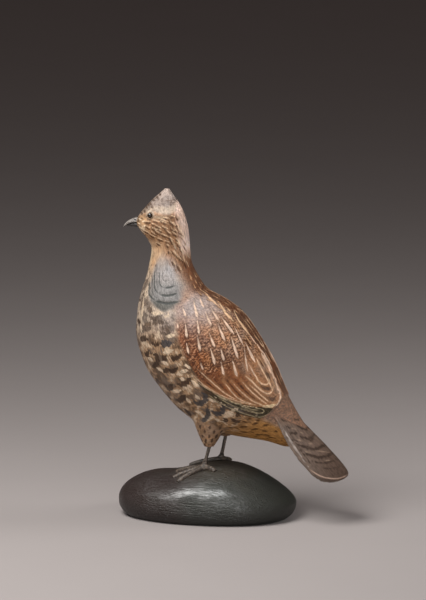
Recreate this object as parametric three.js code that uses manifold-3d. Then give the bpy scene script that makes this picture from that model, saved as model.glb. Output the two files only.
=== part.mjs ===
// A miniature grouse, carved and painted, on a dark carved rock.
// Millimetres, +Z up. The bird faces -X and its left side is -Y.
// The origin is the middle of the rock's flat underside.
import * as THREE from "three";
import { mergeVertices } from "three/addons/utils/BufferGeometryUtils.js";
import Module from "manifold-3d";

const wasm = await Module();
wasm.setup();

// Bird: cuts across the carving from the crest down to the tail root. Each cut runs from
// a point on the breast line to a point on the back line, as [x, z] in the side view,
// and is an oval of the half width given.
const CUTS = [
  { at: "crest tip", front: [-16.3, 122.6], back: [-14.9, 122.6], half: 0.8 },
  { at: "crest", front: [-23.1, 116.2], back: [-10.4, 116.2], half: 3.9 },
  { at: "face", front: [-27.2, 109.6], back: [-7.9, 109.2], half: 6.5 },
  { at: "throat", front: [-22.6, 102.9], back: [-7.1, 102.9], half: 6.5 },
  { at: "neck", front: [-21.4, 99.4], back: [-6.9, 99.9], half: 6.5 },
  { at: "neck root", front: [-22.8, 91.5], back: [-6.2, 94.5], half: 7.9 },
  { at: "upper breast", front: [-25.7, 81.7], back: [-3.2, 88.5], half: 12 },
  { at: "shoulders", front: [-26.6, 75.7], back: [-0.2, 84.9], half: 14 },
  { at: "breast", front: [-26.9, 67.5], back: [6.2, 81.5], half: 16.5 },
  { at: "lower breast", front: [-24.7, 59.3], back: [11.9, 77.5], half: 17.8 },
  { at: "wings", front: [-20.4, 51.2], back: [16.9, 71.7], half: 17.9 },
  { at: "belly", front: [-9.6, 39.2], back: [24.5, 60], half: 15.9 },
  { at: "vent", front: [3.4, 32.2], back: [29.9, 48.3], half: 11.8 },
  { at: "rump", front: [22.6, 29.4], back: [34.9, 39.8], half: 7 },
  { at: "tail root", front: [31.4, 27.6], back: [38.5, 34.8], half: 4.2 },
  { at: "undertail tip", front: [38.4, 30.4], back: [41.6, 31.2], half: 1.6 },
];
const BACK_FULLNESS = 0.06; // how much wider the ovals are toward the back
const CUT_STEPS = 4; // rings from one cut to the next

// Wings: two steps of relief. Each row gives a cut number and how far round from the back,
// in degrees, the edge of the secondaries and then that of the primaries lies there.
const WING_EDGES = [
  [7.6, 72, 77],
  [8.2, 80, 84],
  [9, 88, 91],
  [10, 91, 94.5],
  [10.6, 93, 97],
  [11, 89, 94.5],
  [11.5, 80, 90],
  [11.9, 66, 86],
  [12.3, 46, 76],
];
const WING_TIP = 12.34; // cut number where the folded wing ends
const WING_TIP_SWEEP = 0.3; // how much earlier it ends at the back line
const SECONDARIES_RISE = 0.8;
const PRIMARIES_RISE = 0.4;
const RISE_STARTS_AT = 6.8; // cut number where the shoulder still lies flush
const RISE_FULL_AT = 9.3;
const BACK_RISE_SHARE = 0.35;
const STEP_DEGREES = 1;
const COLUMNS = { wing: 7, primaries: 2, belly: 6 };

// Bill: upper and lower half as [x, z, half height, half width], from the face forward.
const UPPER_BILL = [
  [-24.5, 109.5, 2, 2.1],
  [-27.2, 109.4, 1.9, 1.8],
  [-29, 109.1, 1.45, 1.3],
  [-30.8, 108.5, 0.95, 0.8],
  [-32, 107.7, 0.45, 0.35],
];
const LOWER_BILL = [
  [-24.5, 107.9, 1.3, 1.8],
  [-27.6, 107.6, 1, 1.45],
  [-29.4, 107.5, 0.65, 0.95],
  [-30.9, 107.5, 0.25, 0.35],
];
const BILL_SIDES = 12;

// Eyes: dark beads with a flat back, set into round sockets.
const EYE = { x: -20.9, z: 112.9, radius: 1, floor: 4.3, front: 5.5 };
const SOCKET_RADIUS = 1.15;
const EYE_SIDES = 16;

// Tail: a roofed sheet of feathers that slopes down and back from the rump.
const TAIL_FROM = new THREE.Vector3(27.4, 0, 47);
const TAIL_TO = new THREE.Vector3(54.2, 0, 17.5);
const TAIL_ROOT_HALF = 7;
const TAIL_END_HALF = 13.6;
const TAIL_DROOP = 6.9; // how far its side edges hang below the ridge
const TAIL_RIDGE_WIDTH = 5;
const TAIL_CORNER = 10; // how far its end is set back at the side edges
const TAIL_THICKNESS = 1.3;
const TAIL_ROWS = 14;
const TAIL_COLUMNS = 16;

// Rock: an oval pebble with a flat underside, a girth line and a ridge with two lobes.
const ROCK = { length: 67, width: 47, girth: 5.6, contact: 0.86, square: 2.2 };
const ROCK_LOBE = { low: 12.2, dip: 1.2, dipAt: -14, dipReach: 6 };
const ROCK_CREST = { rise: 2.2, at: 7, reach: 11, fallFrom: 10, fall: 7 };
const ROCK_RINGS = 12;
const ROCK_SIDES = 40;

// Legs and feet, left first. Tips are the toes' ends in plan, hind toe last.
const SIDES = [
  {
    side: "left",
    thigh: [2.9, -8, 27],
    ankle: [1.5, -8.2, 21.7],
    tips: [[-10.4, -5], [-9.7, -12], [-6.8, -16.2], [6, -10.8]],
  },
  {
    side: "right",
    thigh: [4.8, 7.5, 28.4],
    ankle: [3.4, 7.5, 21.8],
    tips: [[-8.3, 5.2], [-7.6, 11.6], [-4.8, 15.8], [7.3, 9]],
  },
];
const THIGH_HEIGHT = 13;
const THIGH_TOP_RADIUS = 8.6;
const THIGH_END_RADIUS = 1.7;
const THIGH_LEAN = 0.22; // how much its axis leans in toward the belly
const LEG_RADIUS = 0.65;
const TOE_RADIUS = 0.75;
const TOE_TIP_RADIUS = 0.5;
const TOE_LIFT = 0.1; // air between the toes and the rock
const PALM = { forward: 1.6, length: 2.9, width: 2.1, height: 0.9 };
const LIMB_SIDES = 8;

const FEATHERS = new THREE.MeshStandardMaterial({ color: 0x9a7a5c, roughness: 0.55 });
const EYE_BEAD = new THREE.MeshStandardMaterial({ color: 0x14100d, roughness: 0.12 });
const LEG_PAINT = new THREE.MeshStandardMaterial({ color: 0x7b6b58, roughness: 0.6 });
const ROCK_PAINT = new THREE.MeshStandardMaterial({ color: 0x2a2d28, roughness: 0.4 });

const SLIVER = 0.02;

// A closed skin over rings of points, with a fan at each end.
function skin(rings) {
  const points = rings.flat();
  const sides = rings[0].length;
  const index = [];
  for (let r = 0; r + 1 < rings.length; r += 1) {
    for (let s = 0; s < sides; s += 1) {
      const a = r * sides + s;
      const b = r * sides + ((s + 1) % sides);
      index.push(a, b, b + sides, a, b + sides, a + sides);
    }
  }
  const last = (rings.length - 1) * sides;
  const firstMiddle = points.push(middleOf(rings[0])) - 1;
  const lastMiddle = points.push(middleOf(rings.at(-1))) - 1;
  for (let s = 0; s < sides; s += 1) {
    const next = (s + 1) % sides;
    index.push(firstMiddle, next, s);
    index.push(lastMiddle, last + s, last + next);
  }
  return new THREE.BufferGeometry().setFromPoints(points).setIndex(index);
}

function middleOf(ring) {
  const sum = ring.reduce((total, point) => total.add(point), new THREE.Vector3());
  return sum.divideScalar(ring.length);
}

// A geometry as a solid that faces out.
function solid(geometry) {
  const bare = geometry.clone();
  bare.deleteAttribute("normal");
  bare.deleteAttribute("uv");
  const merged = mergeVertices(bare, 1e-4);
  const mesh = new wasm.Mesh({
    numProp: 3,
    vertProperties: Float32Array.from(merged.attributes.position.array),
    triVerts: Uint32Array.from(merged.index.array),
  });
  const made = new wasm.Manifold(mesh);
  if (made.volume() > 0) {
    return made;
  }
  for (let i = 0; i < mesh.triVerts.length; i += 3) {
    [mesh.triVerts[i], mesh.triVerts[i + 1]] = [mesh.triVerts[i + 1], mesh.triVerts[i]];
  }
  return new wasm.Manifold(mesh);
}

function join(geometries) {
  return geometries.map(solid).reduce((whole, piece) => whole.add(piece));
}

// A made solid as a named mesh, without the slivers that joins and cuts leave.
function node(name, made, material) {
  const { vertProperties, triVerts } = made.simplify(SLIVER).getMesh();
  const geometry = new THREE.BufferGeometry();
  geometry.setAttribute("position", new THREE.BufferAttribute(vertProperties, 3));
  geometry.setIndex(new THREE.BufferAttribute(triVerts, 1));
  geometry.computeVertexNormals();
  const mesh = new THREE.Mesh(geometry, material);
  mesh.name = name;
  return mesh;
}

const ease = (t) => {
  const clamped = THREE.MathUtils.clamp(t, 0, 1);
  return clamped * clamped * (3 - 2 * clamped);
};

const curveThrough = (points) => new THREE.CatmullRomCurve3(points, false, "catmullrom");

// A value between the rows of a table whose first column rises.
function between(table, at, column) {
  const next = table.findIndex((row) => row[0] >= at);
  if (next <= 0) {
    return (next === 0 ? table[0] : table.at(-1))[column];
  }
  const [before, after] = [table[next - 1], table[next]];
  const share = (at - before[0]) / (after[0] - before[0]);
  return THREE.MathUtils.lerp(before[column], after[column], share);
}

// How much of a ring's layout follows the wing edges: none on the head and the tail.
function wingShare(cut) {
  return ease(cut - RISE_STARTS_AT) * (1 - ease((cut - WING_TIP) / 1.2));
}

// Angles of a ring's points from the back line down to the belly line, with the rise of each.
function halfRing(cut) {
  const secondaries = between(WING_EDGES, cut, 1);
  const primaries = between(WING_EDGES, cut, 2);
  const ramp = ease((cut - RISE_STARTS_AT) / (RISE_FULL_AT - RISE_STARTS_AT));
  const folded = cut < WING_TIP ? ramp : 0;
  const points = [];
  const stretch = (from, to, count, rise) => {
    for (let i = 0; i < count; i += 1) {
      points.push([from + ((to - from) * i) / (count - 1), rise * folded]);
    }
  };
  stretch(0, secondaries, COLUMNS.wing, SECONDARIES_RISE);
  stretch(secondaries + STEP_DEGREES, primaries, COLUMNS.primaries, PRIMARIES_RISE);
  stretch(primaries + STEP_DEGREES, 180, COLUMNS.belly, 0);
  const even = 180 / (points.length - 1);
  return points.map(([angle, rise], i) => [
    THREE.MathUtils.degToRad(THREE.MathUtils.lerp(i * even, angle, wingShare(cut))),
    rise,
  ]);
}

// The body's skin: ovals through the cuts, with the wings raised.
function bodySkin() {
  const front = curveThrough(CUTS.map((cut) => new THREE.Vector3(cut.front[0], 0, cut.front[1])));
  const back = curveThrough(CUTS.map((cut) => new THREE.Vector3(cut.back[0], cut.half, cut.back[1])));
  const pointAt = (cut, angle, rise, side) => {
    const toward = Math.max(1 - angle / (Math.PI / 3), 0);
    const near = Math.max(1 - Math.abs(cut - WING_TIP) / 1.3, 0);
    const t = (cut - WING_TIP_SWEEP * toward * near) / (CUTS.length - 1);
    const breast = front.getPoint(t);
    const spine = back.getPoint(t);
    const half = spine.y;
    spine.y = 0;
    const across = spine.sub(breast).divideScalar(2);
    const reach = across.length();
    const toBack = across.clone().divideScalar(reach);
    const normal = new THREE.Vector2(Math.cos(angle) / reach, Math.sin(angle) / half).normalize();
    const lift = rise * THREE.MathUtils.lerp(BACK_RISE_SHARE, 1, Math.abs(normal.y));
    const out = half * Math.sin(angle) * (1 + BACK_FULLNESS * Math.cos(angle)) + lift * normal.y;
    const point = breast.add(across);
    point.addScaledVector(toBack, reach * Math.cos(angle) + lift * normal.x);
    point.y += side * out;
    return point;
  };
  const cuts = Array.from({ length: (CUTS.length - 1) * CUT_STEPS + 1 }, (_, i) => i / CUT_STEPS);
  const tipRings = [WING_TIP - 0.03, WING_TIP + 0.03];
  const rings = [...cuts, ...tipRings].sort((a, b) => a - b).map((cut) => {
    const half = halfRing(cut);
    const left = half.map(([angle, rise]) => pointAt(cut, angle, rise, -1));
    const right = half.map(([angle, rise]) => pointAt(cut, angle, rise, 1));
    return [...left, ...right.slice(1, -1).reverse()];
  });
  return skin(rings);
}

function billHalf(stations) {
  return skin(
    stations.map(([x, z, halfHeight, halfWidth]) =>
      Array.from({ length: BILL_SIDES }, (_, side) => {
        const turn = (2 * Math.PI * side) / BILL_SIDES;
        return new THREE.Vector3(x, halfWidth * Math.cos(turn), z + halfHeight * Math.sin(turn));
      }),
    ),
  );
}

function tailSheet() {
  const along = TAIL_TO.clone().sub(TAIL_FROM);
  const down = new THREE.Vector3(along.z, 0, -along.x).normalize();
  const droopAt = (y) => Math.hypot(y / TAIL_RIDGE_WIDTH, 1) - 1;
  const rings = [];
  for (let row = 0; row <= TAIL_ROWS; row += 1) {
    const t = row / TAIL_ROWS;
    const half = THREE.MathUtils.lerp(TAIL_ROOT_HALF, TAIL_END_HALF, Math.sin(1.5 * Math.min(t, 1)));
    const top = [];
    const underside = [];
    for (let column = 0; column <= TAIL_COLUMNS; column += 1) {
      const share = Math.sin((Math.PI / 2) * (2 * (column / TAIL_COLUMNS) - 1));
      const y = half * share;
      const droop = (TAIL_DROOP * droopAt(y)) / droopAt(TAIL_END_HALF);
      const setBack = (TAIL_CORNER / along.length()) * (1 - Math.sqrt(1 - Math.abs(share) ** 3.6));
      const point = TAIL_FROM.clone().addScaledVector(along, t - setBack * ease(t));
      point.y = y;
      point.addScaledVector(down, droop);
      const thickness = TAIL_THICKNESS * (1 - 0.5 * share ** 8);
      top.push(point);
      underside.unshift(point.clone().addScaledVector(down, thickness));
    }
    rings.push([...top, ...underside]);
  }
  return skin(rings);
}

function thigh({ thigh: [x, y, z] }) {
  const steps = 4;
  const rings = [];
  for (let i = 0; i <= steps; i += 1) {
    const rise = (THIGH_HEIGHT * i) / steps;
    const radius = THREE.MathUtils.lerp(THIGH_END_RADIUS, THIGH_TOP_RADIUS, i / steps);
    const inward = Math.sign(y) * THIGH_LEAN * rise;
    rings.push(oval(x, y - inward, radius, radius, () => z + rise, 2 * LIMB_SIDES));
  }
  return skin(rings);
}

// A ring of points around (x, y) at the heights that heightAt(x, y) gives.
function oval(x, y, radiusX, radiusY, heightAt, sides = LIMB_SIDES) {
  return Array.from({ length: sides }, (_, side) => {
    const turn = (2 * Math.PI * side) / sides;
    const pointX = x + radiusX * Math.cos(turn);
    const pointY = y + radiusY * Math.sin(turn);
    return new THREE.Vector3(pointX, pointY, heightAt(pointX, pointY));
  });
}

// An eye bead or its socket: turned about Y, from the flat back out to the front.
function turnedBead(sideSign, radius, domed) {
  const profile = [new THREE.Vector2(0, EYE.floor), new THREE.Vector2(radius, EYE.floor)];
  const steps = 4;
  for (let i = 0; domed && i < steps; i += 1) {
    const turn = (Math.PI / 2) * (i / steps);
    const lip = EYE.floor + 0.35;
    const height = EYE.front - lip;
    profile.push(new THREE.Vector2(radius * Math.cos(turn), lip + height * Math.sin(turn)));
  }
  const reach = domed ? EYE.front : EYE.floor + 6;
  if (!domed) {
    profile.push(new THREE.Vector2(radius, reach));
  }
  profile.push(new THREE.Vector2(0, reach));
  profile.forEach((point) => {
    point.y *= sideSign;
  });
  return solid(new THREE.LatheGeometry(profile, EYE_SIDES).translate(EYE.x, 0, EYE.z));
}

function carvedBird() {
  const whole = join([
    bodySkin(),
    tailSheet(),
    billHalf(UPPER_BILL),
    billHalf(LOWER_BILL),
    ...SIDES.map(thigh),
  ]);
  return [-1, 1].reduce(
    (made, sign) => made.subtract(turnedBead(sign, SOCKET_RADIUS, false)),
    whole,
  );
}

// Height of the rock's top over a point of the plan.
function rockShare(x, y) {
  const power = ROCK.square;
  const along = Math.abs((2 * x) / ROCK.length) ** power;
  const across = Math.abs((2 * y) / ROCK.width) ** power;
  return (along + across) ** (1 / power);
}

function rockTop(x, y) {
  const share = Math.min(rockShare(x, y), 1);
  const bump = (at, reach) => Math.exp(-(((x - at) / reach) ** 2));
  const fall = Math.max((x - ROCK_CREST.fallFrom) / (ROCK.length / 2 - ROCK_CREST.fallFrom), 0);
  const ridge =
    ROCK_LOBE.low -
    ROCK_LOBE.dip * bump(ROCK_LOBE.dipAt, ROCK_LOBE.dipReach) +
    ROCK_CREST.rise * bump(ROCK_CREST.at, ROCK_CREST.reach) -
    ROCK_CREST.fall * fall ** 2.5;
  return ROCK.girth + ridge * (1 - share ** 2.4) ** 0.45;
}

function rock() {
  const outline = (share, height) =>
    Array.from({ length: ROCK_SIDES }, (_, side) => {
      const turn = (2 * Math.PI * side) / ROCK_SIDES;
      const reach = share / rockShare(Math.cos(turn), Math.sin(turn));
      const x = reach * Math.cos(turn);
      const y = reach * Math.sin(turn);
      return new THREE.Vector3(x, y, height ?? rockTop(x, y));
    });
  const rings = [];
  for (let i = 1; i <= ROCK_RINGS; i += 1) {
    rings.push(outline(Math.sin((Math.PI / 2) * (i / ROCK_RINGS))));
  }
  const underSteps = 4;
  for (let i = 1; i <= underSteps; i += 1) {
    const turn = (Math.PI / 2) * (i / underSteps);
    const share = ROCK.contact + (1 - ROCK.contact) * Math.cos(turn);
    rings.push(outline(share, ROCK.girth * (1 - Math.sin(turn))));
  }
  return solid(skin(rings));
}

function leg({ thigh: top, ankle }) {
  const ring = ([x, y, z]) => oval(x, y, LEG_RADIUS, LEG_RADIUS, () => z, 2 * LIMB_SIDES);
  return solid(skin([ring(top), ring(ankle)]));
}

// A toe that follows the rock from under the ankle out to its tip.
function toe([ankleX, ankleY], [tipX, tipY]) {
  const steps = 5;
  const heading = new THREE.Vector3(tipX - ankleX, tipY - ankleY, 0).normalize();
  const side = new THREE.Vector3(-heading.y, heading.x, 0);
  const rings = [];
  for (let i = 0; i <= steps; i += 1) {
    const t = i / steps;
    const x = THREE.MathUtils.lerp(ankleX, tipX, t);
    const y = THREE.MathUtils.lerp(ankleY, tipY, t);
    const blunt = i === steps ? 0.4 : 1;
    const radius = THREE.MathUtils.lerp(TOE_RADIUS, TOE_TIP_RADIUS, t);
    const z = rockTop(x, y) + TOE_LIFT + radius * 1.1;
    rings.push(
      Array.from({ length: LIMB_SIDES }, (_, number) => {
        const turn = (2 * Math.PI * number) / LIMB_SIDES;
        const point = new THREE.Vector3(x, y, z + blunt * radius * Math.sin(turn));
        return point.addScaledVector(side, blunt * radius * Math.cos(turn));
      }),
    );
  }
  return skin(rings);
}

// A foot: the palm swells down and forward from the ankle, with four toes.
function foot({ ankle, tips }) {
  const [x, y, z] = ankle;
  const overRock = (lift) => (atX, atY) => rockTop(atX, atY) + TOE_LIFT + lift;
  const palm = skin([
    oval(x, y, 0.95, 0.95, () => z),
    oval(x - 0.3, y, 1.3, 1.2, () => z - 1),
    oval(x - PALM.forward, y, PALM.length, PALM.width, overRock(PALM.height)),
    oval(x - PALM.forward, y, PALM.length, PALM.width, overRock(0)),
  ]);
  return join([palm, ...tips.map((tip) => toe(ankle, tip))]);
}

const grouse = new THREE.Group();
grouse.add(node("carved_bird", carvedBird(), FEATHERS));
grouse.add(node("left_eye", turnedBead(-1, EYE.radius, true), EYE_BEAD));
grouse.add(node("right_eye", turnedBead(1, EYE.radius, true), EYE_BEAD));
for (const limb of SIDES) {
  grouse.add(node(`${limb.side}_leg`, leg(limb), LEG_PAINT));
  grouse.add(node(`${limb.side}_foot`, foot(limb), LEG_PAINT));
}
grouse.add(node("rock_base", rock(), ROCK_PAINT));

export default grouse;
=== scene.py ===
"""A miniature grouse, carved and painted, on a dark carved rock.

Lengths are millimetres until a mesh is made, +Z up. The bird faces -X and its left side is -Y.
"""

import math

import bmesh
import bpy
import numpy as np
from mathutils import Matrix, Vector
from mathutils.kdtree import KDTree


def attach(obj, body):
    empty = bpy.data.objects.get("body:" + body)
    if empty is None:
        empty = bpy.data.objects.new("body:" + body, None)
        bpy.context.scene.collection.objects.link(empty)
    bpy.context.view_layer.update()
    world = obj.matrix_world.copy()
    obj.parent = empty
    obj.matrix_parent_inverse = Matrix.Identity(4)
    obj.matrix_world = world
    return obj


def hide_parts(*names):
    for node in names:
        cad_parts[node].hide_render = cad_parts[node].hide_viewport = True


MM = 0.001

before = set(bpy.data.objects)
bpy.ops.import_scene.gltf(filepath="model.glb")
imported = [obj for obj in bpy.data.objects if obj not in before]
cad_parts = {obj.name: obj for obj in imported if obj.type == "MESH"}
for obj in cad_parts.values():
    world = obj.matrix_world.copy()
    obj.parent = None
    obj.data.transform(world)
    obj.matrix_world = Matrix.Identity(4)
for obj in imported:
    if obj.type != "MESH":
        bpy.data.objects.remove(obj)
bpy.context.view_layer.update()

# Cuts across the bird from crest to undertail: breast line x and z, back line x and z, half width.
CUTS = np.array(
    [
        (-16.3, 122.6, -14.9, 122.6, 0.8),
        (-23.1, 116.2, -10.4, 116.2, 3.9),
        (-27.2, 109.6, -7.9, 109.2, 6.5),
        (-22.6, 102.9, -7.1, 102.9, 6.5),
        (-21.4, 99.4, -6.9, 99.9, 6.5),
        (-22.8, 91.5, -6.2, 94.5, 7.9),
        (-25.7, 81.7, -3.2, 88.5, 12.0),
        (-26.6, 75.7, -0.2, 84.9, 14.0),
        (-26.9, 67.5, 6.2, 81.5, 16.5),
        (-24.7, 59.3, 11.9, 77.5, 17.8),
        (-20.4, 51.2, 16.9, 71.7, 17.9),
        (-9.6, 39.2, 24.5, 60.0, 15.9),
        (3.4, 32.2, 29.9, 48.3, 11.8),
        (22.6, 29.4, 34.9, 39.8, 7.0),
        (31.4, 27.6, 38.5, 34.8, 4.2),
        (38.4, 30.4, 41.6, 31.2, 1.6),
    ]
)
BACK_FULLNESS = 0.06
CARVING_GRID = 0.412  # size of the squares that the fused carving is made of

# Wing edges: cut number, and how many degrees from the back the secondaries and primaries reach.
WING_EDGES = np.array(
    [
        (7.6, 72, 77),
        (8.2, 80, 84),
        (9, 88, 91),
        (10.2, 92, 93.5),
        (10.7, 94.5, 98.0),
        (11, 90.5, 98.5),
        (11.5, 80, 94.5),
        (11.9, 66.5, 88),
        (12.3, 46, 78),
    ]
)
WING_TIP = {"cut": 12.34, "sweep": 0.3, "swept_to": 60}
WING_EDGE_SOFT = 0.28
WING_FREE_FROM = 22  # degrees from the back where the wing stands fully clear of it
SECONDARIES_RISE = 0.8
PRIMARIES_RISE = 0.4
RISE_STARTS_AT = 6.8
RISE_FULL_AT = 9.3
BACK_RISE_SHARE = 0.35

# Bill halves: x, z, half height, half width.
UPPER_BILL = np.array(
    [
        (-24.5, 110.2, 1.5, 2.0),
        (-27.2, 110.1, 1.1, 1.6),
        (-29.0, 109.7, 0.95, 1.2),
        (-30.6, 109.0, 0.75, 0.8),
        (-31.8, 108.15, 0.5, 0.45),
        (-32.4, 107.5, 0.2, 0.2),
    ]
)
LOWER_BILL = np.array(
    [
        (-24.5, 108.5, 1.2, 1.75),
        (-27.6, 108.45, 0.9, 1.35),
        (-29.4, 108.2, 0.6, 0.9),
        (-31.0, 107.95, 0.25, 0.35),
    ]
)
NOSTRIL = {"x": -27.6, "z": 110.35, "length": 0.75, "height": 0.28, "depth": 0.15}

EYE = {"x": -20.9, "z": 112.9, "radius": 0.96, "floor": 4.3, "lip": 0.35, "front": 5.5}
EYELID = {"radius": 1.42, "width": 0.34, "rise": 0.16}
SOCKET = {"radius": 0.92, "soft": 0.3}

TAIL_FROM = np.array([27.4, 0, 47.0])
TAIL_TO = np.array([54.2, 0, 17.5])
TAIL_LENGTH = float(np.linalg.norm(TAIL_TO - TAIL_FROM))
TAIL_ALONG = (TAIL_TO - TAIL_FROM) / TAIL_LENGTH
TAIL_DOWN = np.array([TAIL_ALONG[2], 0, -TAIL_ALONG[0]])
TAIL_ROOT_HALF = 7.0
TAIL_END_HALF = 13.6
TAIL_FLARE = 1.5  # how soon the tail reaches its full width
TAIL_DROOP = 6.9
TAIL_RIDGE_WIDTH = 5.0
TAIL_CORNER = {"length": 10.0, "roundness": 2.4}
TAIL_THICKNESS = 1.3
TAIL_ARCH = np.array([(0,), (0,), (0.05,), (0.2,), (0.55,), (0.95,), (1.2,), (1.25,), (0.9,)])
TAIL_END = {"from": 0.93, "drop": 1.5, "thinner": 0.45}
TAIL_FEATHERS = 7  # to each side of the ridge
TAIL_STEP = 0.10
TAIL_PATTERN = {"from": 90, "half": 14}  # where the tail's pattern lies among the body's

RUFF_CUT = 0.20
STREAK_RISE = 0.05
LADDER = {"pitch": 1.35, "bow": 0.55}  # dark rungs across the wing coverts
CUFF = {"depth": 0.9, "reach": 3.0, "points": 7}

ROCK = {
    "length": 67.0,
    "width": 47.0,
    "girth": 5.6,
    "contact": 0.86,
    "square": 2.2,
    "flatness": 2.4,
    "roundness": 0.45,
}
ROCK_LOBE = {"low": 12.2, "dip": 1.2, "dip_at": -14.0, "dip_reach": 6.0}
ROCK_CREST = {"rise": 2.2, "at": 7.0, "reach": 11.0, "fall_from": 10.0, "fall": 7.0, "fall_bend": 2.5}

LIMBS = {
    "left": {
        "thigh": (2.9, -8.0, 27.0),
        "ankle": (1.5, -8.2, 21.7),
        "tips": [(-10.4, -5.0), (-9.7, -12.0), (-6.8, -16.2), (6.0, -10.8)],
    },
    "right": {
        "thigh": (4.8, 7.5, 28.4),
        "ankle": (3.4, 7.5, 21.8),
        "tips": [(-8.3, 5.2), (-7.6, 11.6), (-4.8, 15.8), (6.2, 9.6)],
    },
}
THIGH_HEIGHT = 13.0
THIGH_TOP_RADIUS = 8.6
THIGH_END_RADIUS = 1.7
THIGH_LEAN = 0.22
THIGH_FLATTENED = 0.42
LEG_RADIUS = 0.65
TOE_RADIUS = 0.52
TOE_TIP_RADIUS = 0.32
PAD_RADIUS = 0.42
TOE_SHAPE = {"sides": 14, "pads": 5, "knuckles": 19.0, "swell": 0.11, "blunt": 7.0, "taper": 0.5}
TOE_LIFT = 0.1
TOE_DIP = 0.6
PALM = {"forward": 1.6, "length": 2.9, "width": 2.1, "height": 0.9, "edge": 0.15}
# The palm's wedge from the ankle down: how far forward and below it, half length and half width.
WEDGE = [(0, 0, 0.9, 0.9), (0.2, 0.6, 1.1, 1.05), (0.4, 1.2, 1.5, 1.3)]
FOOT_GRID = 0.14  # size of the squares that a fused foot is made of

# How finely each shell is made.
BODY_MESH = {"rings": 260, "sides": 160}
TAIL_MESH = {"rows": 60, "columns": 61}
THIGH_MESH = {"rings": 30, "sides": 80}
ROCK_MESH = {"top": 70, "edge": 18, "sides": 220}


def ease(share):
    """0 under 0, 1 over 1, smooth between."""
    held = np.clip(share, 0, 1)
    return held * held * (3 - 2 * held)


def past(value, edge, soft):
    """0 well under an edge, 1 well over it, smooth across its soft width."""
    return ease((value - edge) / soft + 0.5)


def hump(value, middle, reach):
    """1 at the middle, fading to 0 on both sides."""
    return np.exp(-(((value - middle) / reach) ** 2))


def read_off(at, rows):
    """Values read off a bent line through rows of place and value."""
    places, values = np.array(rows, float).T
    return np.interp(at, places, values)


def blended(under, top, share):
    """Rows taken toward other rows, by a share for each row."""
    under = np.asarray(under, float)
    return under + share[:, None] * (np.asarray(top) - under)


def around(sides):
    """Angles at even steps round a circle, in radians."""
    return np.arange(sides) * 2 * np.pi / sides


def sweep_through(table, at):
    """Rows of a table at fractional row numbers, on a Catmull-Rom curve."""
    table = np.asarray(table, float)
    last = len(table) - 1
    at = np.clip(np.asarray(at, float), 0, last)
    first = np.minimum(at.astype(int), last - 1)
    share = (at - first)[..., None]
    ends = np.vstack([2 * table[0] - table[1], table, 2 * table[-1] - table[-2]])
    a, b, c, d = (ends[first + step] for step in range(4))
    bend = 2 * a - 5 * b + 4 * c - d
    twist = 3 * b - a - 3 * c + d
    return b + 0.5 * share * (c - a + share * (bend + share * twist))


def spaced_through(table, count):
    """A number of rows at even steps through a table."""
    return sweep_through(table, np.linspace(0, len(table) - 1, count))


def distance_along(points):
    """Distance from a line's first point to each of its points."""
    return np.concatenate([[0], np.cumsum(np.linalg.norm(np.diff(points, axis=0), axis=1))])


def evenly(points, step):
    """Points at even steps along a smooth curve through the given ones."""
    dense = spaced_through(points, 40 * len(points))
    run = distance_along(dense)
    at = np.linspace(0, run[-1], max(2, int(math.ceil(run[-1] / step)) + 1))
    return np.stack([np.interp(at, run, dense[:, k]) for k in range(dense.shape[1])], 1)



# Places on the body


def body_point(cut, angle):
    """The body's skin at a cut number and an angle in degrees from the back line, right side positive."""
    row = sweep_through(CUTS, cut)
    turn = np.radians(np.asarray(angle, float))
    middle = (row[..., 0:2] + row[..., 2:4]) / 2
    arm = (row[..., 2:4] - row[..., 0:2]) / 2
    in_plane = middle + arm * np.cos(turn)[..., None]
    across = row[..., 4] * np.sin(turn) * (1 + BACK_FULLNESS * np.cos(turn))
    return np.stack([in_plane[..., 0], across, in_plane[..., 1]], -1)


def cut_under(x, z):
    """The cut number whose plane holds a point of the side view, found by halving."""
    low = np.zeros(np.shape(x))
    high = np.full(np.shape(x), len(CUTS) - 1.0)
    for _ in range(26):
        middle = (low + high) / 2
        row = sweep_through(CUTS, middle)
        run_x = row[..., 2] - row[..., 0]
        run_z = row[..., 3] - row[..., 1]
        above = run_x * (z - row[..., 1]) > run_z * (x - row[..., 0])
        high = np.where(above, middle, high)
        low = np.where(above, low, middle)
    return (low + high) / 2


def back_share(cut, x, z):
    """Cosine of the angle from the back line, and the half width there, for a point of the side view."""
    row = sweep_through(CUTS, cut)
    arm = (row[..., 2:4] - row[..., 0:2]) / 2
    offset = np.stack([x, z], -1) - (row[..., 0:2] + row[..., 2:4]) / 2
    return (offset * arm).sum(-1) / (arm * arm).sum(-1), row[..., 4]


def place_on_body(points):
    """Cut number and signed angle in degrees for points on or near the body."""
    cut = cut_under(points[:, 0], points[:, 2])
    toward_back, half = back_share(cut, points[:, 0], points[:, 2])
    across = points[:, 1] / half
    angle = np.arctan2(across, toward_back)
    for _ in range(3):
        angle = np.arctan2(across / (1 + BACK_FULLNESS * np.cos(angle)), toward_back)
    return cut, np.degrees(angle)


def lifted(side_points):
    """Side-view points lifted out onto the skin of the right side."""
    x, z = np.asarray(side_points, float).T
    cut = cut_under(x, z)
    toward_back, _ = back_share(cut, x, z)
    return body_point(cut, np.degrees(np.arccos(np.clip(toward_back, -1, 1))))


FINE_CUTS = np.linspace(0, len(CUTS) - 1, 400)
BODY_MIDDLE = body_point(FINE_CUTS, np.full(len(FINE_CUTS), 90.0))[:, [0, 2]]
BODY_RUN = distance_along(BODY_MIDDLE)


def run_at(cut):
    """Distance down the middle of the body from the crest."""
    return np.interp(cut, FINE_CUTS, BODY_RUN)


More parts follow.
